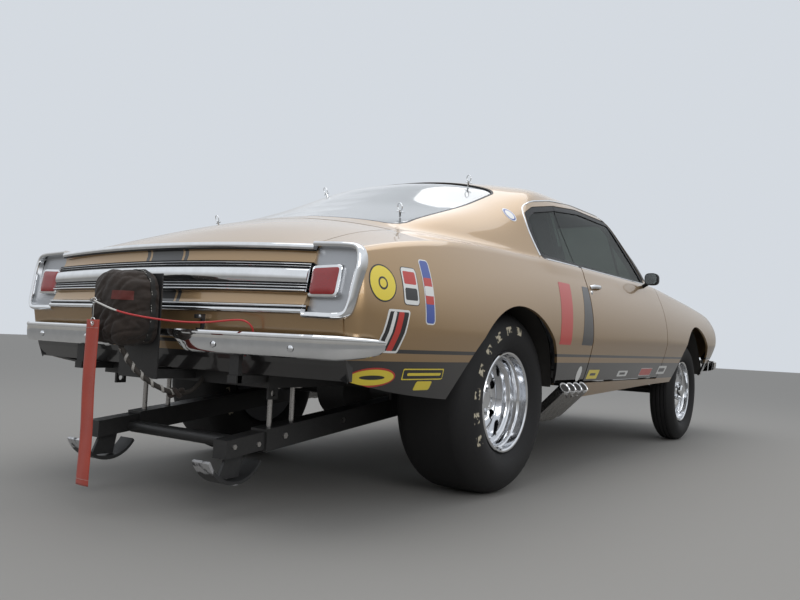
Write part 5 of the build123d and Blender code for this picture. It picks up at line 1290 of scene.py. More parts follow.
# end, aft, up, rim, hub, nuts out, and the disc's face, radii, openings, their ring, size and length
WHEELS = (("rear", 0.0, REAR_UP, REAR_RIM, REAR_HUB, 0.702, (0.682, (0.058, 0.157), 5, 0.112, 0.021, 1.35)),
          ("front", FRONT_AXLE, FRONT_UP, FRONT_RIM, FRONT_HUB, 0.766,
           (0.742, (0.054, 0.178), 10, 0.145, 0.013, 1.7)))
for side, word in SIDES:
    for end, aft, up, rim_line, hub_line, nuts_out, disc_sizes in WHEELS:
        body, axle = f"wheel_{end}_{word}", (0, at(aft), up)
        solid(f"{end}_rim_{word}", *sided(spun(rim_line, axle, 120), side), ALLOY, body, "polished_alloy", 28,
              (f"{end}_wheel_{word}",))
        nuts = studs((side * nuts_out, at(aft), up), 5, 0.055, 0.0105, 0.026, 6, (side, 0, 0))
        solid(f"{end}_hub_{word}", *joined(sided(spun(hub_line, axle, 64), side), nuts), CHROME, body,
              "chrome_trim", 28)
        walled(f"{end}_disc_{word}", wheel_disc(side, aft, up, *disc_sizes), 0.008, ALLOY, body)
print("wheels dressed")


# %% Tyre rubber
def rubber(name, aft, up, marks):
    """Dull black rubber with faint grey patches, and worn cream marks where asked."""
    material = finish(name, (0.011, 0.011, 0.012), 0.66, 0.0, 55, 0.08, 0.0006, (0.020, 0.019, 0.019),
                      Specular_IOR_Level=0.3)
    if marks:
        tree, shader, place, (_, y, z) = parts_of(material)
        ahead, over = maths(tree, "SUBTRACT", at(aft), y), maths(tree, "SUBTRACT", z, up)
        turn = maths(tree, "ARCTAN2", ahead, over)
        arms = wire(tree, "ShaderNodeCombineXYZ", {"X": ahead, "Y": over}).outputs[0]
        radius = wire(tree, "ShaderNodeVectorMath", {0: arms}, operation="LENGTH").outputs["Value"]
        wear = wire(tree, "ShaderNodeTexNoise", {"Vector": place, "Scale": 46.0, "Detail": 4.0}).outputs["Fac"]
        mask = ramped(tree, maths(tree, "PINGPONG", turn, 0.158), 0.078, 0.098)
        for part in (maths(tree, "COMPARE", radius, 0.288, 0.016), maths(tree, "COMPARE", turn, -0.95, 1.30),
                     ramped(tree, wear, 0.47, 0.53)):
            mask = maths(tree, "MULTIPLY", mask, part)
        covered(tree, shader, mask, (0.50, 0.45, 0.34))
    return material


SLICK = rubber("slick_rubber", 0.0, REAR_UP, True)
TREAD = rubber("tyre_rubber", FRONT_AXLE, FRONT_UP, False)


def tyre_line(outer, width, bead_r, tyre_r, grooves):
    """A tyre's profile of (out, radius) with moulded rings on its sides and grooves in its tread."""
    inner, seat, lip = outer - width, 0.032, bead_r + 0.011
    shoulder, middle = width * 0.22, (bead_r + tyre_r) / 2
    near = [(outer - seat, lip)] + bent((outer - seat, lip), (outer, middle), (outer - shoulder, tyre_r - 0.003), 34)
    moulded = []
    for out, radius in near:
        ridge = 0.0011 * sum(np.exp(-((radius - at_r) / 0.0016) ** 2)
                             for at_r in (bead_r + 0.020, bead_r + 0.026, middle + 0.030))
        moulded.append((out - 0.0012 + ridge, radius))
    tread = bent((outer - shoulder, tyre_r - 0.003), (outer - width / 2, tyre_r),
                 (inner + shoulder, tyre_r - 0.003), 30)[:-1]
    if grooves:
        for share in (0.34, 0.5, 0.66):
            place = outer - width * share
            tread = [p for p in tread if abs(p[0] - place) > 0.004]
            tread += [(place + off, tyre_r - depth) for off, depth in (
                (0.0035, 0.001), (0.0025, 0.007), (-0.0025, 0.007), (-0.0035, 0.001))]
        tread = sorted(tread, key=lambda p: -p[0])
    far = [(2 * (outer - width / 2) - out, radius) for out, radius in reversed(moulded)]
    return [(outer - seat, bead_r)] + moulded + tread + far + [(inner + seat, bead_r)]


slick = spun(tyre_line(0.828, 0.350, 0.193, REAR_UP, False), (0, at(0), REAR_UP), 144)
drum_line = [(0.497, 0.078), (0.497, 0.200), (0.503, 0.202), (0.503, 0.078), (0.497, 0.078)]
drum = spun(drum_line, (0, at(0), REAR_UP), 72)
narrow = spun(tyre_line(0.812, 0.160, 0.196, FRONT_UP, True), (0, at(FRONT_AXLE), FRONT_UP), 144)
for side, word in SIDES:
    rear, front = f"wheel_rear_{word}", f"wheel_front_{word}"
    solid(f"rear_slick_{word}", *sided(slick, side), SLICK, rear, "tyre_rubber", 50, (f"rear_tyre_{word}",))
    solid(f"rear_drum_{word}", *sided(drum, side), CAST_IRON, rear, "black_steel")
    solid(f"front_rubber_{word}", *sided(narrow, side), TREAD, front, "tyre_rubber", 50, (f"front_tyre_{word}",))
print("tyres:", len(slick[1]), "and", len(narrow[1]), "faces")

# %% Front arch liners
liner_turn = np.linspace(radians(14), radians(166), 50)
LINER_OUT, LINER_RADIUS = 0.655, FRONT_ARCH + 0.006
liner_line = [(LINER_OUT, at(FRONT_AXLE) + LINER_RADIUS * cos(t), FRONT_ARCH_UP + LINER_RADIUS * sin(t))
              for t in liner_turn]
liner_out = [(0, cos(t), sin(t)) for t in liner_turn]
left_liner = swept(liner_line, liner_out, [(-0.155, 0), (-0.155, 0.003), (0.155, 0.003), (0.155, 0)])
# The liners take the near black of dust and painted shade, so the inside of the arch reads dark.
pair("front_arch_liners", left_liner, DUST_AND_SHADE, slot="black_steel")
print("liners:", 2 * len(left_liner[1]), "faces")

# %% [markdown]
# ## Window trim, mirrors and handles
# The windows sit in black frames with a chrome drip rail above and a bright moulding along the
# belt. The frames are narrow rings trimmed out of the skin beside each opening, and the mouldings
# are half round beads swept over lines that lie on the skin, so both follow the body exactly.

# %% Window frames
def band(outline, near, far):
    """A strip inside an outline, between two distances from it."""
    return lambda p: np.maximum(outline(p) + near, -(outline(p) + far))


door_ring = band(side_opening, 0.0025, 0.026)
for side, word in SIDES:
    ring_sheet = fine(door_ring, on_side(side), cabin_side, ahead_of(-0.7035), beyond(0.45))
    walled(f"door_window_frame_{word}", offset(ring_sheet, -0.002), 0.003, BLACK_TRIM, f"door_{word}")
ring_sheet = fine(door_ring, cabin_side, behind(-0.6965), beyond(0.45))
walled("quarter_window_frames", offset(ring_sheet, -0.001), 0.004, BLACK_TRIM)
pillar = fine(lambda p: side_opening(p) - 0.045, cabin_side, ahead_of(-1.40), beyond(0.605), opposite(side_opening),
              above(1.015), opposite(front_opening))
walled("pillar_covers", offset(pillar, 0.0012), 0.001, BLACK_TRIM)
glass_edge = fine(band(rear_opening, 0.001, 0.012), above(0.9))
walled("rear_glass_seal", offset(glass_edge, -0.001), 0.004, BLACK_TRIM)
front_edge = fine(band(front_opening, 0.001, 0.014), ahead_of(-1.40))
walled("windshield_moulding", offset(front_edge, 0.0005), 0.005, CHROME)
POST = [(-0.617, 0.960), (-0.523, 0.960), (-0.640, 1.300), (-0.735, 1.300)]
# A narrow chrome strip on the upper part of each window post: a painted highlight that stands for the shine on the
# black post.
POST_HIGHLIGHT_STRIP = [(-0.640, 1.080), (-0.612, 1.080), (-0.672, 1.258), (-0.700, 1.258)]
VENT = [(-1.412, 0.960), (-1.384, 0.960), (-1.440, 1.300), (-1.468, 1.300)]
posts = [fine(rounded(shape, 0.003), cabin_side, side_opening, beyond(0.45)) for shape in (POST, VENT)]
for name, sheet, depth, wall, material in (
        ("window_posts", posts[0], 0.018, 0.004, BLACK_TRIM), ("vent_bars", posts[1], 0.018, 0.004, BLACK_TRIM),
        ("post_gleams", trim(posts[0], rounded(POST_HIGHLIGHT_STRIP, 0.003)), 0.0172, 0.0006, CHROME)):
    walled(name, offset(sheet, -depth), wall, material)
# A black sheet in the quarter window's shape, 55 mm inside the skin, so the window reads dark: painted shade standing
# for the cabin behind it.
lining = trim(SKIN, cabin_side, side_opening, behind(-0.690))
walled("quarter_window_shade_sheet", offset(lining, -0.055), 0.003, CABIN_BLACK)
print("frames:", len(ring_sheet[1]), "faces")

# %% Drip rails and belt mouldings
belt, belt_out = [], []
for i, line in enumerate(share_rows):
    step_up = np.nonzero((line[:-1] <= 0) & (line[1:] > 0))[0]
    if -1.80 < stations[i] < -0.300 and len(step_up):
        j = step_up[0]
        t = -line[j] / (line[j + 1] - line[j])
        belt.append(half[i, j] * (1 - t) + half[i, j + 1] * t)
        belt_out.append(normals[i, j] * (1 - t) + normals[i, j + 1] * t)
belt, belt_out = np.array(belt), np.array(belt_out)


def belt_moulding(keep):
    """The belt line's bright moulding over a part of its length."""
    return swept(belt[keep] + belt_out[keep] * 0.001, belt_out[keep], bead(0.012, 0.005))


door_moulding = belt_moulding(belt[:, 1] < at(-0.706))
for side, word in SIDES:
    solid(f"belt_moulding_door_{word}", *sided(door_moulding, side), CHROME, f"door_{word}")
pair("belt_moulding_quarters", belt_moulding(belt[:, 1] > at(-0.694)), CHROME)
DRIP = [(-1.842, 1.014), (-1.476, 1.338), (-1.020, 1.344), (-0.690, 1.309), (-0.440, 1.264), (-0.318, 1.217),
        (-0.281, 1.105), (-0.281, 0.990)]
pair("drip_rails", swept(*on_flank(curve_through(DRIP, 0.05, 0.012)), bead(0.0085, 0.0045)), CHROME)
print("belt line points:", len(belt))


# %% Mirrors, handles and pins
def tube(points, radius, up, closed=False, sides=10):
    """A round tube along points, with a direction that none of its runs follows."""
    turn = np.linspace(0, 2 * pi, sides, endpoint=False)
    profile = np.column_stack([np.cos(turn), np.sin(turn)]) * radius
    return swept(points, [up] * len(points), profile, closed)


def mirror_shell(sizes):
    """A rounded mirror case as rounded rings from front to back."""
    points = []
    for aft, size in sizes:
        for t in np.linspace(0, 2 * pi, 40, endpoint=False):
            r = superellipse(0.0375 * size, 0.0345 * size, t, 3.2)
            points.append((0.8765 + r * cos(t), at(aft), 1.0100 + r * sin(t)))
    return np.array(points), rungs(len(sizes), 40, -1)


case = mirror_shell([(-1.7095, 0.55), (-1.7070, 0.78), (-1.6990, 0.93), (-1.6850, 0.99), (-1.6540, 1.0),
                     (-1.6515, 0.97)])
pane = mirror_shell([(-1.6530, 0.88), (-1.6505, 0.86)])
foot = tube([(0.812, at(-1.690), 0.964), (0.835, at(-1.686), 0.978), (0.860, at(-1.682), 0.992)], 0.011, (0, 1, 0))
grip_at, grip_out = on_flank(np.linspace([-0.852, 0.893], [-0.742, 0.889], 14))
lift = 0.016 * np.minimum(1, 2.6 * np.sin(np.linspace(0, pi, 14)))[:, None]
grip = swept(grip_at + grip_out * (lift - 0.002), grip_out, bead(0.019, 0.008))
lock_at, _ = on_flank([(-0.735, 0.862)])
lock = spun([(0, 0), (0.0, 0.011), (0.004, 0.010), (0.006, 0.007), (0.006, 0)],
            lock_at[0] - np.array([0.002, 0, 0]), 24)
for side, word in SIDES:
    solid(f"mirror_case_{word}", *sided(joined(case, foot), side), BLACK_TRIM, f"door_{word}", "black_plastic")
    solid(f"mirror_pane_{word}", *sided(pane, side), CHROME, f"door_{word}")
    solid(f"door_handle_{word}", *sided(joined(grip, lock), side), CHROME, f"door_{word}")

pins = []
for out, aft in ((0.500, 0.375), (0.420, -0.290), (-0.500, 0.375), (-0.420, -0.290)):
    foot_at, foot_out = (v[0] for v in on_top([(out, aft)]))
    pins.append(tube([foot_at + foot_out * up for up in (-0.004, 0.012, 0.024)], 0.0045, (1, 0, 0)))
    round_turn = np.linspace(0, 2 * pi, 28, endpoint=False)
    sideways = unit(np.cross(foot_out, (0.35, 0.94, 0)))
    loop = [foot_at + foot_out * (0.036 + 0.015 * cos(t)) + sideways * 0.015 * sin(t) for t in round_turn]
    pins.append(tube(loop, 0.0018, tuple(np.cross(foot_out, sideways)), True, 8))
    cross = foot_at + foot_out * 0.017
    pins.append(tube([cross - sideways * 0.022, cross, cross + sideways * 0.026], 0.0022, tuple(foot_out), False, 8))
solid("glass_hold_down_pins", *joined(*pins), CHROME)
print("pins:", len(pins) // 3)

# %% Bumper bolts and latch
def dome(out, aft, up, turn=1, radius=0.011, stand=0.006):
    """A domed bolt head that faces the tail, or the nose if turn is -1."""
    profile = [(0, 0), (0, radius), (stand * 0.5, radius * 0.9), (stand * 0.9, radius * 0.5), (stand, 0)]
    return faced(profile, out, aft, up, turn, 24)


bolts = [dome(side * out, aft, 0.556) for side in (1, -1) for out, aft in ((0.639, 1.1215), (0.330, 1.1405))]
bolts += [dome(side * out, aft, 0.500, -1) for side in (1, -1) for out, aft in ((0.520, -3.699), (0.250, -3.708))]
solid("bumper_bolts", *joined(*bolts), ALLOY, slot="bare_steel")
latch = [block((-0.247, -0.193), (1.086, 1.102), (0.637, 0.651)), dome(-0.220, 1.102, 0.644, 1, 0.005, 0.003),
         block((-0.231, -0.209), (1.080, 1.088), (0.604, 0.640)),
         block((-0.236, -0.196), (1.072, 1.096), (0.598, 0.606))]
solid("deck_latch", *joined(*latch), CHROME)
print("bumper bolts:", len(bolts))

# %% Header tips, shields and arm bolts
TIP_RIM = [(-0.0005, 0.0), (-0.0005, 0.0225), (0.0010, 0.0245), (0.0022, 0.0265), (0.0005, 0.0272),
           (-0.0120, 0.0272), (-0.0125, 0.0)]
# The tip rims are closed plugs. A dark disc on each end stands for the open pipe: painted shade of its hollow.
TIP_MOUTH = [(0.0004, 0.0), (0.0004, 0.0205), (-0.0010, 0.0205), (-0.0010, 0.0)]
tips, mouths = [], []
for tip_aft, low_aft in ((-0.660, -0.700), (-0.585, -0.638), (-0.510, -0.576), (-0.435, -0.514)):
    end = np.array([0.872, at(tip_aft), 0.418])
    pipe = unit(end - np.array([0.690, at(low_aft), 0.262]))
    for profile, pieces in ((TIP_RIM, tips), (TIP_MOUTH, mouths)):
        points, faces = spun(profile, (0, 0, 0), 36)
        pieces.append((turned_to(points, pipe) + end, faces))
pair("header_tip_rims", joined(*tips), CHROME)
pair("header_mouth_shades", joined(*mouths), DUST_AND_SHADE, slot="black_steel")
low_end, high_end = np.array([0.700, 0, 0.285]), np.array([0.862, 0, 0.424])
run = unit(high_end - low_end)
face_out = np.array([run[2], 0, -run[0]])


def on_shield(share, stand, aft):
    """A place on the shield at a share of its height, off its face."""
    return low_end + (high_end - low_end) * share + face_out * stand + np.array([0, at(aft), 0])


shield_points = [on_shield(share, 0.0285 + off, -0.607 + 0.060 * share + sign * reach)
                 for share, reach in ((0.0, 0.150), (0.05, 0.154), (0.92, 0.148), (1.0, 0.140))
                 for off in (0.0, 0.003) for sign in (-1, 1)]
shield_faces = [[k + p, k + q, k + 4 + q, k + 4 + p] for k in (0, 4, 8) for p, q in ((0, 1), (1, 3), (3, 2), (2, 0))]
shield_faces += [[0, 2, 3, 1], [12, 13, 15, 14]]
shield_bolts = [bolt(on_shield(0.84, 0.034, -0.557 + shift), 0.008, 0.007, face_out) for shift in (-0.055, 0.0, 0.055)]
pair("header_shields", joined((np.array(shield_points), shield_faces), *shield_bolts), BARE_STEEL, slot="bare_steel")
arm_bolts = [bolt((side * 0.368, at(aft), up), 0.011, 0.008, (side, 0, 0))
             for side in (1, -1) for aft, up in ((0.125, 0.325), (0.500, 0.284), (0.820, 0.249))]
arm_bolts += [bolt((side * 0.3605, at(aft), 0.228), 0.009, 0.007, (side, 0, 0)) for side in (1, -1)
              for aft in (0.94, 1.05)]
solid("arm_bolts", *joined(*arm_bolts), BARE_STEEL, slot="bare_steel")
print("header tips:", 2 * len(tips), "arm bolts:", len(arm_bolts))

# %% [markdown]
# ## Painted marks
# Racing cars wear small coloured marks along their flanks. Here they are plain discs, plates,
# ovals and slanted bars without any lettering. Each is cut out of the same skin as the panel
# below it and raised by a hair, so it bends with the body like a film on paint.


# %% Marks
def ink(name, colour):
    """A glossy film of one colour."""
    return finish(name, colour, 0.30, 0.0, 400, 0.05, 0.0, tuple(c * 0.86 for c in colour), Coat_Weight=0.5)


INKS = {word: ink(f"ink_{word}", colour) for word, colour in {
    "yellow": (0.78, 0.62, 0.05), "black": (0.013, 0.013, 0.014), "white": (0.72, 0.72, 0.70),
    "red": (0.50, 0.035, 0.025), "blue": (0.045, 0.085, 0.34), "charcoal": (0.035, 0.034, 0.036)}.items()}


def oval(aft, up, long, high, size=0.0):
    """Negative inside an ellipse seen from the side, drawn in by a rim width."""
    flat = min(long, high) - size
    return lambda p: (np.hypot((p[:, 1] - at(aft)) / (long - size), (p[:, 2] - up) / (high - size)) - 1) * flat


def plate(afts, ups, lean=0.0, ease=0.010, inset=0.0):
    """Negative inside a plate whose top leans towards the nose."""
    (a, b), (low, high) = afts, ups
    return rounded([(a + inset, low + inset), (b - inset, low + inset), (b - lean - inset, high - inset),
                    (a - lean + inset, high - inset)], max(ease - inset, 0.002))


def rimmed(rim, fill, width, shape, *sizes, level=1):
    """A mark in one ink and, above it, the same shape drawn in by a rim width in another."""
    return [(rim, shape(*sizes), level), (fill, shape(*sizes, width), level + 1)]


QUARTER_MARKS = [
    *rimmed("black", "yellow", 0.0045, oval, 0.955, 0.766, 0.058, 0.057),
    *rimmed("black", "yellow", 0.006, oval, 0.955, 0.766, 0.020, 0.020, level=3),
    *rimmed("black", "white", 0.0025, plate, (0.792, 0.868), (0.706, 0.826), 0.0, 0.014),
    ("red", plate((0.801, 0.859), (0.772, 0.812), 0.0, 0.004), 3),
    ("black", plate((0.801, 0.859), (0.722, 0.760), 0.0, 0.004), 3),
    *rimmed("white", "blue", 0.004, plate, (0.712, 0.764), (0.650, 0.860), 0.0, 0.014),
    ("red", plate((0.7165, 0.7595), (0.715, 0.800), 0.0, 0.003), 3),
    ("white", plate((0.7165, 0.7595), (0.742, 0.773), 0.0, 0.002), 4),
    *rimmed("white", "black", 0.007, plate, (0.868, 0.965), (0.556, 0.690), 0.030, 0.008),
    ("red", plate((0.893, 0.917), (0.563, 0.683), 0.027, 0.003), 3),
    ("white", plate((0.926, 0.940), (0.563, 0.683), 0.027, 0.003), 3),
    ("red", plate((-0.420, -0.290), (0.609, 0.882), 0.050, 0.003), 1),
    *rimmed("red", "yellow", 0.006, oval, 0.922, 0.479, 0.090, 0.031),
    ("black", oval(0.922, 0.479, 0.048, 0.007), 3),
    *rimmed("yellow", "black", 0.004, plate, (0.590, 0.800), (0.471, 0.508), -0.010, 0.003),
    ("yellow", plate((0.608, 0.782), (0.485, 0.494), -0.002, 0.002), 3),
    ("yellow", plate((0.640, 0.722), (0.436, 0.466), 0.0, 0.006), 1),
    ("white", oval(-0.612, 0.478, 0.028, 0.036), 1),
]
BAR_MARKS = [("charcoal", plate((-0.688, -0.552), (0.611, 0.884), 0.066, 0.003), 1)]
FENDER_MARKS = [
    ("white", plate((-2.075, -1.905), (0.462, 0.512), 0.016, 0.004), 1),
    ("charcoal", plate((-2.050, -1.930), (0.476, 0.498), 0.008, 0.003), 2),
]
DOOR_MARKS = [
    ("yellow", plate((-0.868, -0.722), (0.452, 0.496), 0.014, 0.004), 1),
    ("charcoal", plate((-0.835, -0.760), (0.468, 0.480), 0.004, 0.002), 2),
    ("white", plate((-1.330, -1.170), (0.458, 0.488), 0.012, 0.006), 1),
    ("charcoal", plate((-1.300, -1.205), (0.467, 0.479), 0.004, 0.002), 2),
    *rimmed("white", "red", 0.003, plate, (-1.780, -1.560), (0.456, 0.500), 0.012, 0.004),
]
SAIL_MARKS = [*rimmed("white", "blue", 0.004, oval, -0.215, 1.165, 0.030, 0.030),
              ("white", oval(-0.215, 1.165, 0.030, 0.030, 0.010), 3)]


def lay_marks(name, marks, body, *cutters):
    """One piece for each colour of a group of marks, all riding on one body."""
    for word, colour in INKS.items():
        layers = [offset(fine(cutter, beyond(0.50), *cutters), 0.0004 + 0.00025 * level)
                  for ink_word, cutter, level in marks if ink_word == word]
        if layers:
            walled(f"{name}_{word}", joined(*layers), 0.0002, colour, body)


lay_marks("quarter_marks", QUARTER_MARKS, "body", behind(-0.6925), rear_arch)
lay_marks("fender_marks", FENDER_MARKS, "body", ahead_of(-1.90), front_arch)
lay_marks("rear_bar_marks", BAR_MARKS, "body", behind(-0.6925), rear_arch)
lay_marks("sail_marks", SAIL_MARKS, "body", ahead_of(0.30), behind(-0.30))
for side, word in SIDES:
    lay_marks(f"door_marks_{word}", DOOR_MARKS, f"door_{word}", on_side(side), above(0.4425), ahead_of(-0.702),
              door_front(0.0381))
print("marks:", len(QUARTER_MARKS + BAR_MARKS + FENDER_MARKS + DOOR_MARKS + SAIL_MARKS))

# %% [markdown]
# ## Parachute pack and driver's seat
# The pack is a cloth bag that its folded canopy pushes out from inside, so a short cloth
# simulation with air pressure swells a plain lofted form, and a cap keeps it near its solid. A
# second, finer pass of noise lays in the creases. The seat's foam cover is made the same way.


# %% Woven cloth
def woven(name, colour, second, threads, rough=0.85, patch=9.0, **sockets):
    """Plain weave cloth: faded patches of colour and a bump of crossing threads."""
    material = finish(name, colour, rough, 0.0, patch, 0.05, 0.0, second, **sockets)
    tree, shader, place, _ = parts_of(material)
    waves = [wire(tree, "ShaderNodeTexWave", {"Vector": place, "Scale": threads}, bands_direction=way).outputs["Fac"]
             for way in ("X", "Z")]
    bumped(tree, shader, maths(tree, "MAXIMUM", *waves), 0.5, 0.0006)
    return material


PACK_CLOTH = woven("pack_cloth", (0.014, 0.011, 0.010), (0.045, 0.032, 0.025), 160.0, Sheen_Weight=0.1,
                   Specular_IOR_Level=0.3)
SEAT_VINYL = woven("seat_vinyl", (0.016, 0.016, 0.017), (0.026, 0.026, 0.028), 45.0, 0.5)


# %% Swollen cloth forms
def puffed(name, verts, faces, material, voxel, cap, held, creases, replaced):
    """A closed form swollen by a short cloth simulation, capped, creased and smoothed."""
    obj = make_object(name, verts, faces, material)
    scene = bpy.context.scene

    def bake():
        mesh = evaluated(obj)
        obj.modifiers.clear()
        obj.data = mesh

    voxels = obj.modifiers.new("voxels", "REMESH")
    voxels.mode, voxels.voxel_size = "VOXEL", voxel
    bake()
    rest = np.array([v.co for v in obj.data.vertices])
    group = obj.vertex_groups.new(name="held")
    group.add([int(i) for i in np.nonzero(held(rest))[0]], 1.0, "REPLACE")
    cloth = obj.modifiers.new("cloth", "CLOTH")
    cloth.settings.quality = 5
    cloth.settings.vertex_group_mass = "held"
    cloth.settings.use_pressure = True
    cloth.settings.uniform_pressure_force = 4.0
    cloth.settings.effector_weights.gravity = 0.0
    cloth.point_cache.frame_start, cloth.point_cache.frame_end = 1, 20
    for frame_number in range(1, 21):
        scene.frame_set(frame_number)
    bake()
    scene.frame_set(1)
    moved = np.array([v.co for v in obj.data.vertices]) - rest
    length = np.linalg.norm(moved, axis=1, keepdims=True) + 1e-9
    rest = rest + moved * np.minimum(1, cap / length)
    obj.data.vertices.foreach_set("co", rest.ravel())
    normal = np.array([v.normal for v in obj.data.vertices])
    free = ~held(rest)
    depth = np.array([creases(Vector(p)) for p in rest])
    rest = rest + normal * (depth * free)[:, None]
    obj.data.vertices.foreach_set("co", rest.ravel())
    smooth = obj.modifiers.new("smooth", "SUBSURF")
    smooth.levels = smooth.render_levels = 1
    bake()
    obj.data.polygons.foreach_set("use_smooth", [True] * len(obj.data.polygons))
    obj.data.materials.clear()
    obj.data.materials.append(material)
    obj.vertex_groups.clear()
    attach(obj, "body")
    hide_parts(replaced)
    return obj


# %% Pack
PACK_UP, PACK_STEPS = 0.6645, 64


def pack_ring(aft, size, drop):
    """One rounded ring of the pack, flatter below than above."""
    shape = []
    for t in np.linspace(0, 2 * pi, PACK_STEPS, endpoint=False):
        r = superellipse(0.101 * size, 0.126 * size, t, 5 if sin(t) < 0 else 2.9)
        shape.append((r * cos(t), at(aft), PACK_UP - drop + r * sin(t)))
    return shape


pack_sizes = [(1.1680, 0.93, 0), (1.1700, 0.98, 0), (1.1850, 1.0, 0), (1.2400, 1.0, 0.001), (1.2720, 0.985, 0.003),
              (1.2920, 0.93, 0.005), (1.3040, 0.80, 0.008), (1.3090, 0.5, 0.010), (1.3100, 0.02, 0.012)]
pack_points = np.array([p for row in pack_sizes for p in pack_ring(*row)])


def pack_creases(p):
    """Long slack creases that fan down from the top and sag across the lower rear."""
    fan = noise.noise(Vector((p.x * 22 + (p.z - 0.66) * 14, p.y * 12, p.z * 7)))
    sag = noise.noise(Vector((p.x * 9, p.y * 10 + 4, p.z * 34 + p.x * 12)))
    small = noise.noise(Vector((p.x * 70, p.y * 70, p.z * 80)))
    low = min(1.0, max(0.0, (0.74 - p.z) * 8))
    return (-0.0075 * max(0.0, 0.30 - abs(fan)) / 0.30 * 0.9
            - 0.0060 * low * max(0.0, 0.22 - abs(sag)) / 0.22 + 0.0012 * small)


pack = puffed("parachute_bag", pack_points, rungs(len(pack_sizes), PACK_STEPS, -1), PACK_CLOTH, 0.005, 0.007,
              lambda p: p[:, 1] < at(1.1715), pack_creases, "parachute_pack")
print("pack:", len(pack.data.polygons), "faces")

# %% Seat
SEAT_SHAPE = [(-1.410, 0.492), (-1.410, 0.625), (-1.385, 0.640), (-1.240, 0.612), (-1.100, 0.600), (-1.070, 0.640),
              (-1.010, 0.950), (-0.990, 1.040), (-0.970, 1.052), (-0.935, 1.050), (-0.930, 1.030), (-0.965, 0.492)]
SEAT_OUTS = [(0.148, 0.030), (0.160, 0.024), (0.190, 0.018), (0.230, 0.0), (0.490, 0.0), (0.530, 0.018),
             (0.560, 0.024), (0.572, 0.030)]
seat_points = []
for out, rise in SEAT_OUTS:
    for k, (aft, up) in enumerate(SEAT_SHAPE):
        lifted = rise if 2 <= k <= 7 else 0
        seat_points.append((out, at(aft) - lifted * (0.9 if k >= 5 else 0), up + (lifted if k <= 5 else 0) * 0.8))
seat_faces = rungs(len(SEAT_OUTS), len(SEAT_SHAPE), -1)


def seat_channels(p):
    """Sewn channels across the cushion and up the back."""
    inside = 1.0 if 0.23 < p.x < 0.49 else 0.0
    return -0.004 * inside * max(0.0, cos((p.x - 0.36) * 2 * pi / 0.065)) ** 8


seat = puffed("driver_seat_pad", np.array(seat_points), seat_faces, SEAT_VINYL, 0.008, 0.006,
              lambda p: p[:, 2] < 0.500, seat_channels, "driver_seat")
print("seat:", len(seat.data.polygons), "faces")


# %% Binding with stitches
def stitch_tree():
    """Short stitches along a curve, with their sizes as named inputs."""
    tree, given = nodes_tree("row_of_stitches", Geometry="Geometry", Spacing="Float", Length="Float",
                             Thread_Radius="Float", Finish="Material")
    row = wire(tree, "GeometryNodeCurveToPoints", {"Curve": given["Geometry"], "Length": given["Spacing"]},
               mode="LENGTH")
    thread = wire(tree, "GeometryNodeMeshCylinder", {
        "Vertices": 6, "Radius": given["Thread Radius"], "Depth": given["Length"]})
    placed = wire(tree, "GeometryNodeInstanceOnPoints", {
        "Points": row.outputs["Points"], "Instance": thread.outputs["Mesh"], "Rotation": row.outputs["Rotation"]})
    return handed_out(tree, placed.outputs[0], given["Finish"])


STITCHES = stitch_tree()
THREAD = finish("white_thread", (0.62, 0.60, 0.55), 0.8, 0.0, 300, 0.05)


def new_curve(name, kind, lines):
    """A curve through lines of places."""
    curve = bpy.data.curves.new(name, "CURVE")
    curve.dimensions = "3D"
    for line in lines:
        spline = curve.splines.new(kind)
        spline.points.add(len(line) - 1)
        for point, place in zip(spline.points, line):
            point.co = (*place, 1)
    return curve


def stitches(name, lines, spacing=0.009, long=0.005, radius=0.0007, slot="pack_cloth"):
    """One mesh of stitches along several lines."""
    values = {"Spacing": spacing, "Length": long, "Thread Radius": radius, "Finish": THREAD}
    return solid(name, *grown(add(name + "_line", new_curve(name, "POLY", lines)), STITCHES, values), THREAD, slot=slot)


bag_tree = BVHTree.FromPolygons([tuple(v.co) for v in pack.data.vertices],
                                [list(p.vertices) for p in pack.data.polygons])


def on_bag(corners, step, lift):
    """Places on the bag beside a line, lifted off it along the bag's own normals."""
    places, outs = [], []
    for point in curve_through(corners, 0.03, step):
        place, out, _, _ = bag_tree.find_nearest(Vector(point))
        places.append(np.array(place) + np.array(out) * lift)
        outs.append(tuple(out))
    return np.array(places), outs


EDGE = [(out * 1.06, at(1.196), PACK_UP + (up - PACK_UP) * 1.05) for out, up in (
    (-0.080, 0.545), (-0.100, 0.580), (-0.101, 0.720), (-0.080, 0.778), (-0.040, 0.790), (0.040, 0.790), (0.080, 0.778),
    (0.101, 0.720), (0.100, 0.580), (0.080, 0.545))]
edge_at, edge_out = on_bag(EDGE, 0.004, 0.0005)
for _ in range(6):
    edge_at[1:-1] = (edge_at[:-2] + edge_at[1:-1] * 2 + edge_at[2:]) / 4
BINDING = woven("binding_tape", (0.012, 0.012, 0.012), (0.024, 0.022, 0.020), 300.0)
TAPE = [(-0.010, -0.001), (-0.009, 0.0022), (0.0, 0.0032), (0.009, 0.0022), (0.010, -0.001)]
solid("bag_binding", *swept(edge_at, edge_out, TAPE), BINDING, slot="pack_cloth")
stitch_at = np.array([p + np.array(o) * 0.0016 + np.array([0, 0.0078, 0]) for p, o in zip(edge_at, edge_out)])
stitches("binding_stitches", [stitch_at])

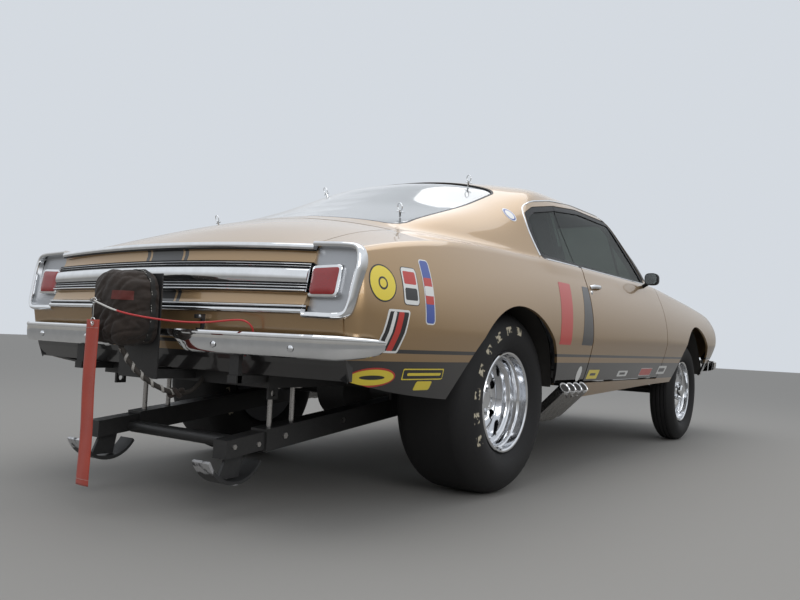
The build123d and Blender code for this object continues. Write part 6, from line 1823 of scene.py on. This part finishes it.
# %% Blank label on the pack
label_points = []
for up in np.linspace(0.684, 0.713, 7):
    for turn in np.linspace(0.05, 1.05, 22):
        aim = Vector((sin(turn), -cos(turn), 0))
        place, out, _, _ = bag_tree.ray_cast(Vector((-0.035, at(1.235), up)) - aim * 0.2, aim)
        label_points.append((*(np.array(place) + np.array(out) * 0.0010), *out, 0.0))
label_points = np.array(label_points)
label_faces = agreeing(label_points[:, :3], label_points[:, 3:6], grid_quads(7, 22), 40).tolist()
FADED_RED = woven("faded_red_tape", (0.16, 0.030, 0.024), (0.075, 0.024, 0.020), 260.0, 0.8, 40.0)
walled("bag_label", (label_points, label_faces), 0.0008, FADED_RED)

# %% [markdown]
# ## Ribbon, release cable and tether
# A long red ribbon hangs from the safety pin on a thin wire. It is a thin cloth strip that hangs
# almost flat with a slow wave. The release cable and the tether are curves of one smooth spline
# that go through the same control points as in the CAD source, in metres.

# %% Ribbon
RIBBON_CLOTH = woven("ribbon_cloth", (0.46, 0.060, 0.030), (0.34, 0.040, 0.024), 240.0, 0.8, 14.0, Sheen_Weight=0.2)
RIBBON_AFT, RIBBON_TOP = 1.3390, 0.6165
WIRE_OUT, WIRE_AFT, WIRE_RADIUS = 0.010, 1.3395, 0.0011


def on_ribbon(out, up, stand=0.0):
    """A place on the ribbon, which waves slowly and more towards its lower end."""
    wave = 0.0028 * sin(up * 17) * (RIBBON_TOP - up) / 0.5 + 0.0014 * sin(out * 90 + up * 9)
    return (out, at(RIBBON_AFT) + wave + stand, up)


ribbon_points = [on_ribbon(out, up) for up in np.linspace(RIBBON_TOP, 0.0905, 72)
                 for out in np.linspace(-0.0222, 0.0422, 12)]
ribbon = make_object("pin_ribbon", ribbon_points, grid_quads(72, 12), RIBBON_CLOTH)
ribbon_shape = bmesh.new()
ribbon_shape.from_mesh(ribbon.data)
bmesh.ops.recalc_face_normals(ribbon_shape, faces=ribbon_shape.faces)
bmesh.ops.solidify(ribbon_shape, geom=ribbon_shape.faces[:], thickness=0.0010)
bmesh.ops.recalc_face_normals(ribbon_shape, faces=ribbon_shape.faces)
ribbon_shape.to_mesh(ribbon.data)
ribbon_shape.free()
ribbon.data.polygons.foreach_set("use_smooth", [True] * len(ribbon.data.polygons))
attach(ribbon, "body")
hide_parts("ribbon")
eyelet = faced([(-0.0016, 0.0040), (-0.0016, 0.0080), (0.0016, 0.0080), (0.0016, 0.0040)], WIRE_OUT, WIRE_AFT,
               0.6040, 1, 28)
hook_turn = np.linspace(0, 2 * pi, 40, endpoint=False)
ring_low = [(WIRE_OUT + 0.0045 * sin(t), at(WIRE_AFT) + 0.0040 * sin(t), 0.6125 + 0.0100 * cos(t)) for t in hook_turn]
ring_high = [(WIRE_OUT + 0.0085 * sin(t), at(RIBBON_AFT) + 0.0015 * sin(t), 0.678 + 0.0085 * cos(t)) for t in hook_turn]
wire_run = [(WIRE_OUT, at(WIRE_AFT), up) for up in np.linspace(0.622, 0.670, 6)]
wires = [tube(line, WIRE_RADIUS, up, closed, 8) for line, up, closed in (
    (ring_low, (0.66, -0.74, 0), True), (wire_run, (1, 0, 0), False), (ring_high, (0, 1, 0), True))]
solid("ribbon_wire", *joined(eyelet, *wires), CHROME, slot="bare_steel")
hems = [[on_ribbon(out, up, 0.0012) for out in np.linspace(-0.019, 0.039, 12)] for up in (0.590, 0.110)]
hem = stitches("ribbon_stitches", hems, 0.006, 0.0036, 0.0005, "ribbon_cloth")

# %% Release cable and tether
CABLE_ROUTE = [(0.010, 1.342, 0.678), (-0.055, 1.333, 0.655), (-0.118, 1.310, 0.639), (-0.180, 1.272, 0.629),
               (-0.240, 1.240, 0.623), (-0.297, 1.209, 0.621), (-0.350, 1.177, 0.624), (-0.398, 1.148, 0.633),
               (-0.446, 1.122, 0.638), (-0.466, 1.100, 0.612), (-0.452, 1.094, 0.574), (-0.424, 1.091, 0.548),
               (-0.395, 1.062, 0.524)]
TETHER_ROUTE = [(-0.020, 1.255, 0.545), (-0.045, 1.250, 0.500), (-0.080, 1.225, 0.452), (-0.108, 1.180, 0.412),
                (-0.122, 1.125, 0.388), (-0.126, 1.065, 0.382), (-0.122, 1.010, 0.398), (-0.112, 0.972, 0.436)]


def cord_curve(name, route, radius, material, replaced):
    """One smooth spline through a cord's control points, as thick as the cord."""
    curve = new_curve(name, "NURBS", [[(out, at(aft), up) for out, aft, up in route]])
    curve.bevel_depth, curve.bevel_resolution, curve.resolution_u, curve.use_fill_caps = radius, 4, 14, True
    curve.splines[0].order_u = 3
    curve.splines[0].use_endpoint_u = True
    curve.materials.append(material)
    obj = add(name, curve)
    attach(obj, "body")
    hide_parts(replaced)
    return obj


def split_colour(name, first, second, where, sharp, rough):
    """A jacket that changes colour at a place across the car."""
    material = finish(name, first, rough, 0.0, 60, 0.08)
    tree, shader, _, (x, _, _) = parts_of(material)
    covered(tree, shader, ramped(tree, x, where + sharp, where - sharp), second)
    return material


JACKET = split_colour("cable_jacket", (0.62, 0.60, 0.57), (0.46, 0.030, 0.030), -0.085, 0.004, 0.35)
cable = cord_curve("release_cable", CABLE_ROUTE, 0.003, JACKET, "parachute_cable")
TETHER_CLOTH = woven("tether_webbing", (0.012, 0.011, 0.010), (0.060, 0.050, 0.042), 220.0, 0.85, 60.0)
tether = cord_curve("tether", TETHER_ROUTE, 0.008, TETHER_CLOTH, "tether_strap")
bare_line = add("tether_line", tether.data.copy())
bare_line.data.bevel_depth = 0
tether_points = np.array([v.co for v in evaluated(bare_line).vertices])
bpy.data.objects.remove(bare_line)
run = run_of(tether_points)
even = np.linspace(0.02, run[-1] * 0.62, 150)
core = read_along(tether_points, even)
tangent = unit(np.gradient(core, axis=0))
first = unit(np.cross(tangent, (1, 0, 0)))
second = np.cross(tangent, first)
WRAP_PITCH = 0.040
turn = even * 2 * pi / WRAP_PITCH
out = first * np.cos(turn)[:, None] + second * np.sin(turn)[:, None]
WHITE_WEB = woven("white_webbing", (0.46, 0.45, 0.42), (0.20, 0.18, 0.16), 220.0, 0.85, 60.0)
webbing = [(-0.0045, 0.0), (-0.0040, 0.0018), (0.0040, 0.0018), (0.0045, 0.0)]
wrap = solid("tether_wrap", *swept(core + out * 0.0082, out, webbing), WHITE_WEB, slot="pack_cloth")
knot_turn = np.linspace(0, 2 * pi, 90, endpoint=False)
centre = tether_points[int(np.interp(run[-1] * 0.66, run, np.arange(len(run))))]
knot_line = [centre + (0.0085 * (sin(t) + 1.6 * sin(2 * t)), 0.0100 * (cos(t) - 1.6 * cos(2 * t)), 0.0100 * sin(3 * t))
             for t in knot_turn]
knot = solid("tether_knot", *tube(knot_line, 0.0075, (0.2, 0.3, 0.93), True, 10), PACK_CLOTH, slot="pack_cloth")
print("cable and tether laid")

# %% Finish
bpy.context.view_layer.update()
